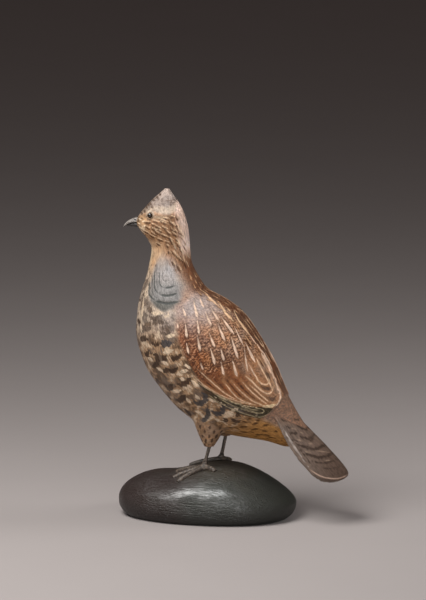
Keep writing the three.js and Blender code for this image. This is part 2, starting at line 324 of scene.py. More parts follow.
def girth_radius(cut, angle):
    """How far a point of the skin moves for each radian round the cut."""
    row = sweep_through(CUTS, cut)
    reach = np.linalg.norm(row[..., 2:4] - row[..., 0:2], axis=-1) / 2
    turn = np.radians(angle)
    return np.hypot(reach * np.sin(turn), row[..., 4] * np.cos(turn))


def wing_distances(cut, angle):
    """Distance inside the edge of the secondaries, of the primaries, and of the wing tip."""
    spread = np.abs(angle)
    per_degree = np.radians(girth_radius(cut, spread))
    edge_cuts, secondaries_reach, primaries_reach = WING_EDGES.T
    secondaries = (np.interp(cut, edge_cuts, secondaries_reach) - spread) * per_degree
    primaries = (np.interp(cut, edge_cuts, primaries_reach) - spread) * per_degree
    toward_back = np.clip(1 - spread / WING_TIP["swept_to"], 0, 1)
    tip = run_at(WING_TIP["cut"] - WING_TIP["sweep"] * toward_back) - run_at(cut)
    return secondaries, primaries, tip


def wing_rise(cut, angle):
    """How far the folded wing stands out from the body."""
    distances = wing_distances(cut, angle)
    secondaries, primaries, tip = (past(distance, 0, 2 * WING_EDGE_SOFT) for distance in distances)
    ramp = ease((cut - RISE_STARTS_AT) / (RISE_FULL_AT - RISE_STARTS_AT))
    rise = PRIMARIES_RISE * primaries + (SECONDARIES_RISE - PRIMARIES_RISE) * secondaries
    return ramp * rise * ease(np.abs(angle) / WING_FREE_FROM) * tip


# Places on the tail


def tail_half(t):
    """Half width of the tail at shares of its length."""
    return TAIL_ROOT_HALF + (TAIL_END_HALF - TAIL_ROOT_HALF) * np.sin(TAIL_FLARE * np.clip(t, 0, 1))


def tail_droop(y):
    """How far the tail falls away to the sides of its ridge."""
    full = math.hypot(TAIL_END_HALF / TAIL_RIDGE_WIDTH, 1) - 1
    return TAIL_DROOP * (np.hypot(y / TAIL_RIDGE_WIDTH, 1) - 1) / full


def tail_arch(t):
    """How far the tail stands out from its straight line, at shares of its length."""
    arch = sweep_through(TAIL_ARCH, np.clip(t, 0, 1) * (len(TAIL_ARCH) - 1))[..., 0]
    return arch - TAIL_END["drop"] * tail_rounding(t)


def tail_rounding(t):
    """0 along the tail, rising in a quarter circle to 1 at its end."""
    share = np.clip((t - TAIL_END["from"]) / (1 - TAIL_END["from"]), 0, 1)
    return 1 - np.sqrt(1 - share**2)


def tail_set_back(share):
    """How far the end's rounded corners stand back, as a share of the tail's length."""
    outward = np.minimum(np.abs(share), 1) ** TAIL_CORNER["roundness"]
    return TAIL_CORNER["length"] / TAIL_LENGTH * (1 - np.sqrt(1 - outward))


def tail_top(t, share):
    """Points of the tail's top face and how far along it they lie, the right half positive."""
    y = tail_half(t) * share
    along = t - tail_set_back(share) * ease(t)
    out = tail_droop(y) - tail_arch(along)
    top = TAIL_FROM + TAIL_ALONG * (along * TAIL_LENGTH)[..., None] + TAIL_DOWN * out[..., None]
    top[..., 1] = y
    return top, along


def tail_line(places):
    """Points on the left half of the tail's top, for a stroke."""
    t, share = np.array(places, float).T
    return tail_top(t, -share)[0]


def place_on_tail(points):
    """Share of the length, signed share of the half width, and depth under the top face."""
    offset = points - TAIL_FROM
    straight = offset @ TAIL_ALONG / TAIL_LENGTH
    t = straight.copy()
    for _ in range(4):
        share = points[:, 1] / tail_half(t)
        t = straight + tail_set_back(share) * ease(t)
    depth = offset @ TAIL_DOWN - tail_droop(points[:, 1]) + tail_arch(straight)
    return t, points[:, 1] / tail_half(t), depth


# Places on a thigh


def thigh_point(limb, rise, turn):
    """Points of a thigh's skin at heights over its end and a turn about its middle."""
    x, y, z = limb["thigh"]
    radius = THIGH_END_RADIUS + (THIGH_TOP_RADIUS - THIGH_END_RADIUS) * rise / THIGH_HEIGHT
    middle = y - math.copysign(THIGH_LEAN, y) * rise
    deep = radius * (1 - THIGH_FLATTENED * rise / THIGH_HEIGHT)
    return np.stack([x + radius * np.cos(turn), middle + deep * np.sin(turn), z + rise], -1)


def near_thigh_tops(points):
    """How far each point lies where a thigh runs into the body."""
    nearest = np.zeros(len(points))
    for limb in LIMBS.values():
        x, y, z = limb["thigh"]
        middle = y - math.copysign(THIGH_LEAN * THIGH_HEIGHT, y)
        off = np.hypot(points[:, 0] - x, points[:, 1] - middle)
        close = 1 - ease((off - THIGH_TOP_RADIUS - 1.0) / 4.0)
        level = 1 - ease((np.abs(points[:, 2] - z - THIGH_HEIGHT) - 3.5) / 4.0)
        nearest = np.maximum(nearest, close * level)
    return nearest


# The rock


def rock_share(x, y):
    """0 at the middle of the rock's plan, 1 at its edge."""
    power = ROCK["square"]
    lengthwise = np.abs(2 * x / ROCK["length"]) ** power
    crosswise = np.abs(2 * y / ROCK["width"]) ** power
    return (lengthwise + crosswise) ** (1 / power)


def rock_top(x, y):
    """Height of the rock's top over a point of the plan."""
    share = np.minimum(rock_share(x, y), 1)
    fall_reach = ROCK["length"] / 2 - ROCK_CREST["fall_from"]
    fall = np.maximum((x - ROCK_CREST["fall_from"]) / fall_reach, 0)
    ridge = (
        ROCK_LOBE["low"]
        - ROCK_LOBE["dip"] * hump(x, ROCK_LOBE["dip_at"], ROCK_LOBE["dip_reach"])
        + ROCK_CREST["rise"] * hump(x, ROCK_CREST["at"], ROCK_CREST["reach"])
        - ROCK_CREST["fall"] * fall ** ROCK_CREST["fall_bend"]
    )
    return ROCK["girth"] + ridge * (1 - share ** ROCK["flatness"]) ** ROCK["roundness"]



# Meshes


def shell(rings):
    """Points and faces of a closed skin over rings of points, with a fan at each end."""
    rings = np.asarray(rings, float)
    rows, sides = rings.shape[:2]
    points = np.vstack([rings.reshape(-1, 3), rings[0].mean(0), rings[-1].mean(0)])
    row, side = np.meshgrid(np.arange(rows - 1), np.arange(sides), indexing="ij")
    a = (row * sides + side).ravel()
    b = (row * sides + (side + 1) % sides).ravel()
    faces = np.stack([a, b, b + sides, a + sides], 1).tolist()
    first, last = rows * sides, rows * sides + 1
    tail = (rows - 1) * sides
    for k in range(sides):
        following = (k + 1) % sides
        faces.append((first, following, k))
        faces.append((last, tail + k, tail + following))
    return points, faces


def joined(shells):
    """Points and faces of several shells in one list each."""
    points, faces, start = [], [], 0
    for shell_points, shell_faces in shells:
        points.append(shell_points)
        faces += [tuple(start + corner for corner in face) for face in shell_faces]
        start += len(shell_points)
    return np.vstack(points), faces


def placed(name, data):
    """A new object of some data, linked into the scene."""
    made = bpy.data.objects.new(name, data)
    bpy.context.scene.collection.objects.link(made)
    return made


def smooth(mesh):
    for polygon in mesh.polygons:
        polygon.use_smooth = True


def piece(name, points, faces):
    """A new object whose mesh holds the given points, with its faces turned outwards."""
    mesh = bpy.data.meshes.new(name)
    mesh.from_pydata((np.asarray(points) * MM).tolist(), [], faces)
    mesh.update()
    work = bmesh.new()
    work.from_mesh(mesh)
    bmesh.ops.recalc_face_normals(work, faces=work.faces)
    work.to_mesh(mesh)
    work.free()
    smooth(mesh)
    return placed(name, mesh)


def evaluated_mesh(made):
    """A plain mesh of an object as its modifiers leave it."""
    graph = bpy.context.evaluated_depsgraph_get()
    return bpy.data.meshes.new_from_object(made.evaluated_get(graph))


def fuse(made, grid):
    """Makes one skin of shells that run into each other."""
    remesh = made.modifiers.new("fuse", "REMESH")
    remesh.mode = "VOXEL"
    remesh.voxel_size = grid * MM
    mesh = evaluated_mesh(made)
    made.modifiers.clear()
    made.data = mesh
    smooth(mesh)


def vertex_rows(mesh, what):
    """The places or the normals of a mesh's points, one to a row."""
    flat = np.empty(len(mesh.vertices) * 3, np.float32)
    mesh.vertices.foreach_get(what, flat)
    return flat.reshape(-1, 3).astype(float)


def points_of(made):
    return vertex_rows(made.data, "co") / MM


def normals_of(made):
    made.data.update()
    return vertex_rows(made.data, "normal")


def faces_of(made):
    return [tuple(polygon.vertices) for polygon in made.data.polygons]


def move_points(made, points):
    made.data.vertices.foreach_set("co", (points * MM).astype(np.float32).ravel())
    made.data.update()


def softened(made, points, rounds, share=0.5):
    """Points moved toward the middle of their neighbours."""
    edges = np.empty(len(made.data.edges) * 2, np.int32)
    made.data.edges.foreach_get("vertices", edges)
    edges = edges.reshape(-1, 2)
    count = np.bincount(edges.ravel(), minlength=len(points))[:, None]
    for _ in range(rounds):
        total = np.zeros_like(points)
        for axis in range(3):
            total[:, axis] += np.bincount(edges[:, 0], points[edges[:, 1], axis], len(points))
            total[:, axis] += np.bincount(edges[:, 1], points[edges[:, 0], axis], len(points))
        points = points + share * (total / np.maximum(count, 1) - points)
    return points


def keep_values(made, name, kind, field, values):
    """Stores values on the mesh's points, where the paint reads them."""
    layer = made.data.attributes.new(name, kind, "POINT")
    layer.data.foreach_set(field, np.asarray(values, np.float32).ravel())


def keep_number(made, name, values):
    keep_values(made, name, "FLOAT", "value", values)


def keep_vector(made, name, values):
    keep_values(made, name, "FLOAT_VECTOR", "vector", values)


def keep_colour(made, name, values):
    keep_values(made, name, "FLOAT_COLOR", "color", np.column_stack([values, np.ones(len(values))]))


# Node trees


class Wire:
    """A socket of a node tree; arithmetic on it adds Math nodes."""

    def __init__(self, work, socket):
        self.work = work
        self.socket = socket

    def out(self, name):
        """Another output of the same node."""
        return Wire(self.work, self.socket.node.outputs[name])

    def __add__(self, other):
        return self.work.maths("ADD", self, other)

    def __sub__(self, other):
        return self.work.maths("SUBTRACT", self, other)

    def __rsub__(self, other):
        return self.work.maths("SUBTRACT", other, self)

    def __mul__(self, other):
        return self.work.maths("MULTIPLY", self, other)

    def __truediv__(self, other):
        return self.work.maths("DIVIDE", self, other)

    __radd__ = __add__
    __rmul__ = __mul__


class NodeWork:
    """Builds one node tree."""

    def __init__(self, tree):
        self.tree = tree
        self.tree.nodes.clear()

    def node(self, kind, settings=None, sockets=None, out=0):
        """A node of a type, with its settings and then the values or wires of its sockets."""
        made = self.tree.nodes.new(kind)
        for name, value in (settings or {}).items():
            setattr(made, name, value)
        for key, value in (sockets or {}).items():
            if isinstance(value, Wire):
                self.tree.links.new(value.socket, made.inputs[key])
            else:
                made.inputs[key].default_value = value
        return Wire(self, made.outputs[out]) if made.outputs else made

    def maths(self, operation, *values):
        return self.node("ShaderNodeMath", {"operation": operation}, dict(enumerate(values)))


class Coat(NodeWork):
    """A painted finish."""

    def __init__(self, name):
        self.material = bpy.data.materials.new(name)
        self.material.use_nodes = True
        super().__init__(self.material.node_tree)

    def attribute(self, name, out="Fac"):
        return self.node("ShaderNodeAttribute", {"attribute_name": name}, out=out)

    def place(self):
        """Object coordinates in millimetres."""
        return self.stretched(self.node("ShaderNodeTexCoord", out="Object"), (1 / MM,) * 3)

    def stretched(self, vector, scale):
        return self.node("ShaderNodeVectorMath", {"operation": "MULTIPLY"}, {0: vector, 1: scale})

    def noise(self, vector, scale, detail=2.0, roughness=0.5):
        """Noise over a place, with its number of patches for each millimetre along each axis."""
        sockets = {"Vector": self.stretched(vector, scale), "Scale": 1.0}
        sockets.update({"Detail": detail, "Roughness": roughness})
        return self.node("ShaderNodeTexNoise", {}, sockets, out="Fac")

    def rising(self, value, low, high):
        """0 under low, 1 over high, smooth between."""
        settings = {"interpolation_type": "SMOOTHSTEP"}
        return self.node("ShaderNodeMapRange", settings, {0: value, 1: low, 2: high, 3: 0.0, 4: 1.0})

    def falling(self, value, low, high):
        """1 under low, 0 over high, smooth between."""
        return self.rising(0.0 - value, -high, -low)

    def mix(self, under, top, share):
        under, top = (paint if isinstance(paint, Wire) else (*paint, 1) for paint in (under, top))
        return self.node("ShaderNodeMix", {"data_type": "RGBA"}, {0: share, 6: under, 7: top}, out=2)

    def shaded(self, colour, factor):
        """A colour made lighter or darker by a number."""
        return self.node("ShaderNodeVectorMath", {"operation": "SCALE"}, {0: colour, "Scale": factor})

    def bump(self, height, distance):
        sockets = {"Height": height, "Distance": distance * MM, "Strength": 1.0}
        return self.node("ShaderNodeBump", {}, sockets)

    def finish(self, sockets):
        shader = self.node("ShaderNodeBsdfPrincipled", {}, sockets)
        self.node("ShaderNodeOutputMaterial", {}, {"Surface": shader})
        return self.material


# Strokes of paint


class Strokes:
    """Brush strokes on the skin: lines of points with half widths, colours and ragged edges."""

    STEP = 0.2

    def __init__(self):
        self.points, self.widths, self.colours, self.ragged = [], [], [], []

    def add(self, points, half_width, colour, head=0.35, foot=0.35, ragged=0.12, both=True):
        """A stroke that swells over its head and thins over its foot, as shares of its length."""
        line = evenly(points, self.STEP)
        share = np.linspace(0, 1, len(line))
        full = ease(np.minimum(share / head, (1 - share) / foot))
        for side in (1, -1) if both else (1,):
            self.points.append(line * (1, side, 1))
            self.widths.append(half_width * (0.3 + 0.7 * full))
            self.colours.append(np.tile(colour, (len(line), 1)))
            self.ragged.append(np.full(len(line), ragged))

    def side(self, side_points, half_width, colour, **shape):
        """A stroke drawn in the side view, on both sides of the bird."""
        self.add(lifted(evenly(side_points, 0.6)), half_width, colour, **shape)

    def sides(self, lines, half_width, colour, **shape):
        for line in lines:
            self.side(line, half_width, colour, **shape)

    def measure(self, at):
        """Distance inside the nearest stroke, with its colour and raggedness, for points of the skin."""
        points = np.vstack(self.points)
        tree = KDTree(len(points))
        for number, point in enumerate(points):
            tree.insert(point, number)
        tree.balance()
        found = [tree.find(point) for point in at]
        nearest = np.array([hit[1] for hit in found])
        gap = np.array([hit[2] for hit in found])
        inside = np.concatenate(self.widths)[nearest] - gap
        return inside, np.vstack(self.colours)[nearest], np.concatenate(self.ragged)[nearest]


# Paints of the strokes
BUFF = (0.78, 0.56, 0.42)
WARM_BUFF = (0.78, 0.52, 0.32)
STRIPE_BUFF = (0.87, 0.59, 0.42)
PALE_LINE = (0.76, 0.52, 0.34)
CREAM = (0.66, 0.51, 0.365)
TIP_GOLD = (0.72, 0.54, 0.33)
CHEEK_DARK = (0.085, 0.038, 0.017)
CHEEK_BROWN = (0.19, 0.095, 0.045)
CHEEK_PALE = (0.64, 0.45, 0.29)
DAB_BROWN = (0.050, 0.026, 0.015)
DAB_BLUE = (0.056, 0.050, 0.050)
DAB_SOFT = (0.115, 0.080, 0.060)
TICK = (0.085, 0.036, 0.010)
# Dark rust: specks down the back, and painted shade between the overlapping secondaries.
DARK_RUST_AND_OVERLAP_SHADE = (0.085, 0.032, 0.014)
GROOVE_DARK = (0.060, 0.064, 0.060)
OLIVE = (0.046, 0.033, 0.016)
OLIVE_LINE = (0.56, 0.45, 0.27)
TAIL_DARK = (0.052, 0.033, 0.024)
PAINTED_TAIL_HIGHLIGHT = (0.34, 0.29, 0.26)
TAIL_TAN = (0.42, 0.29, 0.22)
TAIL_GLINT = (0.29, 0.205, 0.15)
MANTLE_PALE = (0.52, 0.30, 0.165)
FLECK_DARK = (0.09, 0.056, 0.038)
NAPE_DARK = (0.22, 0.115, 0.06)
LORE_BROWN = (0.11, 0.062, 0.034)
LORE_CREAM = (0.80, 0.62, 0.43)
TERTIAL_DARK = (0.11, 0.062, 0.042)

# Pale streaks down the shafts of the wing coverts: from x, z to x, z, and half width.
COVERT_STREAKS = [
    (-5.5, 80.3, -4.0, 77.6, 0.44),
    (-6.7, 75.7, -6.3, 73.3, 0.33),
    (-3.5, 74.1, -2.7, 70.4, 0.48),
    (-2.6, 67.5, -1.9, 64.6, 0.44),
    (-2.0, 81.9, 0.1, 77.6, 0.55),
    (0.5, 75.9, 1.6, 71.6, 0.41),
    (1.3, 69.9, 2.3, 65.8, 0.50),
    (2.5, 61.2, 3.3, 58.7, 0.38),
    (-0.7, 83.3, 1.4, 80.6, 0.44),
    (3.0, 78.2, 5.2, 74.4, 0.44),
    (5.4, 70.9, 7.1, 67.2, 0.47),
    (6.2, 65.4, 7.5, 61.0, 0.55),
    (4.2, 79.7, 7.3, 76.0, 0.46),
    (7.8, 74.0, 10.2, 69.3, 0.52),
    (9.5, 65.7, 10.6, 62.1, 0.49),
    (9.9, 60.6, 10.8, 56.8, 0.44),
    (8.6, 76.2, 12.4, 71.5, 0.59),
    (12.6, 69.1, 15.0, 63.0, 0.52),
    (13.7, 61.2, 15.2, 56.4, 0.49),
    (12.9, 72.8, 15.9, 67.4, 0.37),
    (16.8, 65.6, 18.5, 58.5, 0.36),
    (17.1, 66.9, 20.2, 61.1, 0.59),
    (18.9, 59.8, 21.1, 55.7, 0.30),
]
# Lines that the coverts' shafts follow down the wing.
SHAFT_LINES = [
    [(-6.2, 81.5), (-4.0, 77.6), (-3.2, 74.1), (-2.6, 70.0), (-2.2, 66.0), (-0.8, 61.5)],
    [(-2.0, 81.9), (0.1, 77.6), (1.5, 71.6), (2.2, 65.8), (2.7, 61.2), (3.8, 57.5)],
    [(-0.7, 83.3), (1.4, 80.6), (5.2, 74.4), (6.9, 67.2), (7.4, 61.4), (8.8, 57.5)],
    [(4.2, 79.7), (7.3, 76.0), (10.0, 69.3), (10.7, 62.1), (11.3, 56.8)],
    [(8.6, 76.2), (12.4, 71.5), (14.9, 63.0), (15.6, 56.4)],
    [(12.9, 72.8), (15.9, 67.4), (18.5, 58.5), (19.5, 55.5)],
    [(17.1, 66.9), (20.2, 61.1), (21.6, 55.7)],
]
SCAPULAR_STREAKS = [
    (-0.9, 85.1, 5.9, 80.4, 0.70),
    (6.4, 80.6, 11.7, 75.2, 0.79),
    (11.2, 77.8, 17.5, 69.6, 0.83),
    (8.5, 79.4, 10.6, 77.7, 0.33),
    (14.4, 75.0, 17.5, 70.8, 0.33),
    (19.1, 68.5, 22.6, 63.3, 0.41),
]
WING_STRIPE = [
    (17.8, 69.2), (20.9, 64.8), (23.1, 61.1), (24.9, 57.8), (26.4, 54.5), (27.5, 51.5), (28.9, 48.0),
]
STRIPE_HEART = [(21.7, 63.9), (23.7, 60.6), (25.3, 57.3), (26.5, 54.4)]
WING_EDGE_LINE = [(26.8, 53.0), (27.9, 50.7), (28.8, 48.6), (29.2, 46.8), (28.9, 44.9), (28.0, 43.9)]
WING_LOWER_EDGE = [
    (-1.6, 55.6), (0.9, 53.5), (3.9, 51.7), (7.1, 49.5), (10.8, 47.5), (17.5, 44.9), (22.2, 43.9),
]
WING_TIP_EDGE = [(23.0, 44.6), (25.1, 44.3), (26.7, 44.2), (28.1, 44.4)]
TERTIAL_LINES = [
    [(20.7, 61.7), (22.3, 58.8), (24.1, 55.3), (25.8, 51.9), (26.7, 49.2)],
    [(18.2, 55.8), (20.0, 54.0), (22.7, 50.8), (24.9, 48.9), (26.2, 48.9), (26.7, 50.3), (26.4, 52.1)],
    [(21.1, 56.1), (22.2, 53.8), (23.4, 52.5), (24.7, 52.0), (25.4, 52.9), (25.0, 54.8)],
]
TERTIAL_HEARTS = [
    [(22.6, 52.6), (24.1, 51.0), (25.7, 50.5), (26.5, 51.4)],
    [(23.3, 49.0), (25.3, 47.0), (26.9, 46.4), (28.0, 47.6)],
    [(24.0, 56.7), (25.0, 54.8), (25.5, 52.6)],
]
SECONDARY_LINES = [
    [(-3.3, 58.3), (-0.7, 56.1), (3.6, 52.6), (7.8, 49.9), (11.9, 47.9), (16.4, 46.2), (19.6, 45.1)],
    [(0.6, 59.2), (4.2, 56.0), (7.9, 52.6), (11.3, 49.6), (15.4, 47.0)],
    [(10.7, 54.4), (12.4, 51.9), (15.5, 48.0), (18.9, 45.9), (21.7, 45.0)],
    [(13.5, 54.2), (16.5, 50.5), (20.6, 46.6), (24.7, 44.5)],
    [(16.6, 54.5), (20.1, 50.1), (23.3, 46.8), (26.0, 44.4)],
    [(19.3, 52.9), (23.3, 48.5), (26.3, 45.4)],
]
PRIMARY_LINES = [
    [(4.0, 49.6), (7.2, 47.0), (11.2, 44.5), (17.4, 41.7), (22.6, 40.3), (25.4, 40.9), (26.1, 42.3)],
    [(8.4, 47.9), (13.2, 45.0), (18.4, 42.9), (22.7, 41.7), (24.5, 42.1), (23.8, 43.2), (20.5, 43.9)],
    [(6.0, 50.2), (9.6, 47.9), (13.8, 46.0), (17.6, 44.9)],
    [(16.4, 44.6), (20.2, 43.2), (22.6, 42.7)],
]
# Grooves of the ruff, and half of how wide each is cut.
RUFF_GROOVES = [
    ([(-20.3, 88.6), (-20.2, 86.3), (-19.7, 84.2), (-18.2, 83.1), (-16.4, 82.2)], 0.30),
    ([(-16.4, 82.2), (-13.8, 81.9), (-11.4, 81.7), (-9.2, 82.1), (-6.7, 82.6)], 0.42),
    ([(-19.6, 91.2), (-19.0, 87.8), (-18.6, 85.8), (-17.5, 84.0), (-15.6, 83.2)], 0.16),
    ([(-18.6, 92.1), (-18.1, 89.0), (-17.6, 86.7), (-16.4, 85.5), (-14.7, 84.6)], 0.26),
    ([(-14.7, 84.6), (-12.2, 84.4), (-10.3, 84.7), (-8.3, 85.4)], 0.40),
    ([(-17.5, 92.6), (-17.2, 89.8), (-16.6, 87.8), (-15.6, 86.3)], 0.14),
    ([(-16.6, 93.0), (-16.2, 90.6), (-15.8, 88.6), (-14.7, 87.4), (-12.9, 87.1)], 0.22),
    ([(-12.9, 87.1), (-11.4, 87.3), (-9.7, 88.0)], 0.34),
    ([(-15.2, 92.8), (-14.6, 90.4), (-13.7, 89.4), (-11.8, 89.7)], 0.12),
]
# Dark dashes of the cheek and the neck: from x, z to x, z.
CHEEK_DASHES = [
    (-19.5, 110.8, -16.6, 110.3), (-17.1, 111.5, -13.9, 110.5), (-16.3, 110.7, -14.3, 109.8),
    (-13.6, 111.4, -12.6, 110.0), (-15.8, 108.9, -13.9, 108.0), (-12.8, 108.5, -11.9, 107.4),
    (-18.5, 109.1, -16.5, 108.2), (-14.6, 107.6, -12.7, 106.1), (-12.1, 106.7, -10.6, 105.5),
    (-18.5, 107.2, -16.5, 106.0), (-16.1, 106.0, -14.2, 105.2), (-20.2, 106.7, -18.6, 105.7),
    (-20.8, 105.4, -18.7, 104.7), (-13.8, 105.2, -12.0, 104.0), (-23.2, 106.6, -21.1, 106.0),
    (-20.1, 108.2, -18.1, 107.6), (-14.6, 103.4, -13.1, 102.9), (-12.8, 104.1, -11.3, 101.8),
    (-14.2, 102.1, -13.1, 101.4), (-11.0, 104.4, -9.9, 103.2), (-10.6, 102.9, -9.3, 101.3),
    (-9.3, 100.6, -8.6, 99.4), (-12.0, 99.9, -10.8, 98.4), (-10.5, 98.4, -9.1, 96.5),
    (-8.9, 97.9, -8.2, 95.7), (-13.5, 99.9, -12.7, 99.1), (-10.9, 109.6, -10.1, 108.4),
    (-9.8, 106.9, -8.8, 105.7), (-11.1, 112.5, -10.3, 111.3), (-22.7, 108.7, -20.6, 107.8),
    (-19.9, 109.6, -18.7, 109.2), (-11.6, 108.0, -10.7, 106.9), (-15.3, 111.9, -13.7, 111.6),
    (-17.3, 107.6, -15.9, 106.9), (-17.4, 104.2, -15.4, 103.6), (-12.8, 112.5, -11.7, 112.1),
    (-12.3, 110.3, -11.5, 109.2), (-22.7, 110.1, -20.2, 110.1), (-18.0, 102.5, -16.7, 101.9),
    (-11.8, 96.2, -11.0, 94.8), (-7.9, 95.9, -7.1, 93.7), (-10.0, 94.7, -8.7, 92.6),
]
FOREHEAD_FLECKS = [
    (-21.9, 117.0, -20.7, 116.5), (-21.1, 118.3, -19.7, 118.0), (-23.3, 115.6, -22.0, 114.9),
    (-25.6, 113.3, -25.4, 112.9), (-25.1, 113.3, -24.1, 112.8), (-26.3, 112.3, -26.4, 111.6),
    (-23.8, 114.2, -22.9, 113.7), (-22.8, 116.5, -21.8, 116.0), (-19.3, 119.5, -18.4, 119.0),
    (-20.6, 116.0, -20.1, 115.5), (-18.2, 120.6, -17.5, 120.1), (-26.4, 111.2, -25.5, 111.0),
]
NAPE_DASHES = [
    (-10.7, 108.5, -9.4, 107.1), (-9.8, 105.8, -8.2, 103.8), (-11.0, 104.4, -9.3, 102.1),
    (-8.5, 102.3, -7.5, 99.9), (-9.6, 100.6, -8.4, 98.3), (-11.4, 99.9, -10.5, 97.8),
    (-9.4, 106.7, -8.2, 104.9), (-8.2, 103.8, -7.5, 101.7), (-12.0, 102.2, -10.7, 100.3),
    (-7.9, 98.9, -7.2, 96.5),
]
# Short feathers about the bill's base: from x, z to x, z.
LORE_DARK = [
    (-26.5, 110.3, -24.9, 110.1), (-26.0, 109.0, -24.2, 108.5), (-25.6, 107.6, -23.8, 106.8),
    (-24.6, 111.6, -23.3, 111.3),
]
LORE_PALE = [
    (-26.2, 109.6, -24.4, 109.3), (-25.9, 108.3, -23.9, 107.6), (-25.9, 111.2, -24.3, 110.9),
    (-24.0, 110.4, -22.4, 110.7), (-23.9, 108.7, -22.4, 108.9), (-24.9, 106.7, -23.2, 106.0),
]
# Dark marks of the breast: a line in the side view, half width before it swells, and colour.
BREAST_MARK_SWELL = 2.1
BREAST_MARKS = [
    ([(-22.0, 72.6), (-20.2, 71.5), (-17.4, 72.6)], 0.48, DAB_SOFT),
    ([(-23.3, 66.5), (-21.2, 67.8), (-19.2, 67.8)], 0.60, DAB_BROWN),
    ([(-17.9, 66.4), (-15.5, 66.2), (-13.4, 66.7)], 0.37, DAB_BROWN),
    ([(-13.4, 66.7), (-11.2, 67.1), (-8.4, 67.5)], 0.67, DAB_BLUE),
    ([(-21.6, 62.2), (-20.3, 61.2), (-19.1, 63.3)], 0.45, DAB_BROWN),
    ([(-17.9, 62.4), (-15.8, 62.1), (-14.8, 60.3), (-16.5, 58.0), (-18.5, 56.8)], 0.48, DAB_BROWN),
    ([(-12.9, 62.9), (-12.1, 61.2), (-10.9, 62.8)], 0.45, DAB_BROWN),
    ([(-9.7, 62.8), (-8.1, 61.6), (-6.0, 62.4), (-4.8, 63.6)], 0.41, DAB_BROWN),
    ([(-13.3, 55.2), (-11.3, 56.9), (-8.8, 56.6), (-6.6, 58.5)], 0.48, DAB_BROWN),
    ([(-18.0, 52.7), (-16.7, 51.7), (-15.7, 51.0)], 0.41, DAB_BROWN),
    ([(-7.3, 51.6), (-5.1, 51.8), (-3.0, 53.2), (-1.3, 55.0)], 0.48, DAB_BROWN),
    ([(-13.4, 50.7), (-11.7, 49.2), (-9.7, 51.3)], 0.56, DAB_BROWN),
    ([(-16.8, 47.9), (-15.0, 47.1)], 0.34, DAB_BROWN),
    ([(-9.4, 44.8), (-7.0, 45.1), (-4.5, 47.8)], 0.56, DAB_BROWN),
    ([(-2.1, 45.6), (0.3, 44.5), (2.9, 45.7), (3.8, 48.1), (2.4, 49.4)], 0.52, DAB_BLUE),
    ([(-13.3, 45.8), (-11.6, 44.5)], 0.37, DAB_BROWN),
    ([(-7.0, 41.5), (-5.1, 40.0), (-4.3, 38.3)], 0.52, DAB_BROWN),
    ([(4.0, 43.7), (3.7, 40.7), (1.8, 37.9), (-0.6, 37.1)], 0.48, DAB_BLUE),
    ([(5.5, 42.1), (7.4, 41.0), (9.4, 41.7), (10.1, 44.4)], 0.52, DAB_BLUE),
    ([(-4.6, 36.3), (-2.6, 36.0)], 0.41, DAB_BROWN),
    ([(2.3, 35.5), (5.1, 36.1)], 0.26, DAB_BROWN),
    ([(-24.9, 73.7), (-22.9, 73.3)], 0.41, DAB_BROWN),
    ([(-18.5, 76.5), (-16.6, 75.7), (-14.6, 77.1)], 0.37, DAB_SOFT),
    ([(-19.2, 78.4), (-17.3, 78.3)], 0.45, DAB_SOFT),
    ([(-13.8, 71.6), (-11.7, 70.7), (-9.3, 71.5)], 0.30, DAB_SOFT),
    ([(-24.6, 76.8), (-24.8, 75.9)], 0.30, DAB_BROWN),
    ([(9.8, 39.0), (10.7, 37.7)], 0.48, DAB_BROWN),
    ([(14.3, 41.2), (15.7, 40.5)], 0.41, DAB_BROWN),
    ([(12.5, 39.2), (14.2, 38.0), (15.8, 38.4)], 0.34, DAB_BROWN),
    ([(-25.5, 81.0), (-23.8, 81.1)], 0.34, DAB_SOFT),
    ([(-23.1, 83.5), (-21.8, 83.2)], 0.28, DAB_SOFT),
    ([(-24.4, 85.1), (-23.7, 85.1)], 0.26, DAB_SOFT),
    ([(-24.6, 62.5), (-23.6, 61.6)], 0.34, DAB_BROWN),
    ([(-14.4, 75.2), (-12.2, 74.3)], 0.37, DAB_SOFT),
]
# Bright feather tips between the marks: from x, z to x, z.
BREAST_TIPS = [
    (-11.8, 63.7, -8.8, 64.8), (-10.5, 70.0, -8.0, 70.5), (-0.9, 53.4, 1.3, 51.5),
    (-5.4, 56.9, -3.0, 57.5), (-17.3, 77.8, -15.1, 77.6), (-19.4, 60.3, -17.5, 59.8),
    (-15.4, 57.0, -13.6, 56.4), (-3.7, 59.5, -1.7, 58.6), (-5.7, 54.2, -4.4, 53.9),
    (-9.5, 48.3, -6.7, 49.2), (-1.2, 41.1, 0.7, 40.4), (-22.9, 72.4, -22.3, 70.3),
    (-0.1, 47.9, 1.0, 46.7), (0.7, 40.0, 1.7, 39.2), (6.2, 38.8, 7.6, 38.0),
    (-4.0, 46.2, -3.1, 44.7), (5.0, 47.0, 7.6, 45.9), (11.7, 42.0, 13.1, 40.8),
    (-12.8, 59.8, -10.7, 59.2), (-22.2, 81.0, -22.5, 75.1),
]
UNDERTAIL_TICKS = [
    (16.5, 38.1, 18.0, 38.0), (20.5, 37.3, 22.0, 37.7), (15.3, 35.7, 17.7, 36.0),
    (19.7, 34.8, 21.7, 35.3), (15.6, 33.7, 17.4, 33.4), (24.1, 36.6, 25.6, 37.0),
    (23.4, 34.5, 24.9, 34.4), (23.0, 32.8, 25.3, 32.6), (18.9, 39.4, 20.0, 39.4),
    (25.2, 31.9, 26.6, 31.6), (21.7, 38.9, 22.8, 38.8), (27.9, 34.6, 28.9, 34.2),
    (12.9, 37.1, 14.0, 36.9), (10.9, 35.2, 12.5, 35.2), (20.8, 32.8, 22.2, 32.7),
]
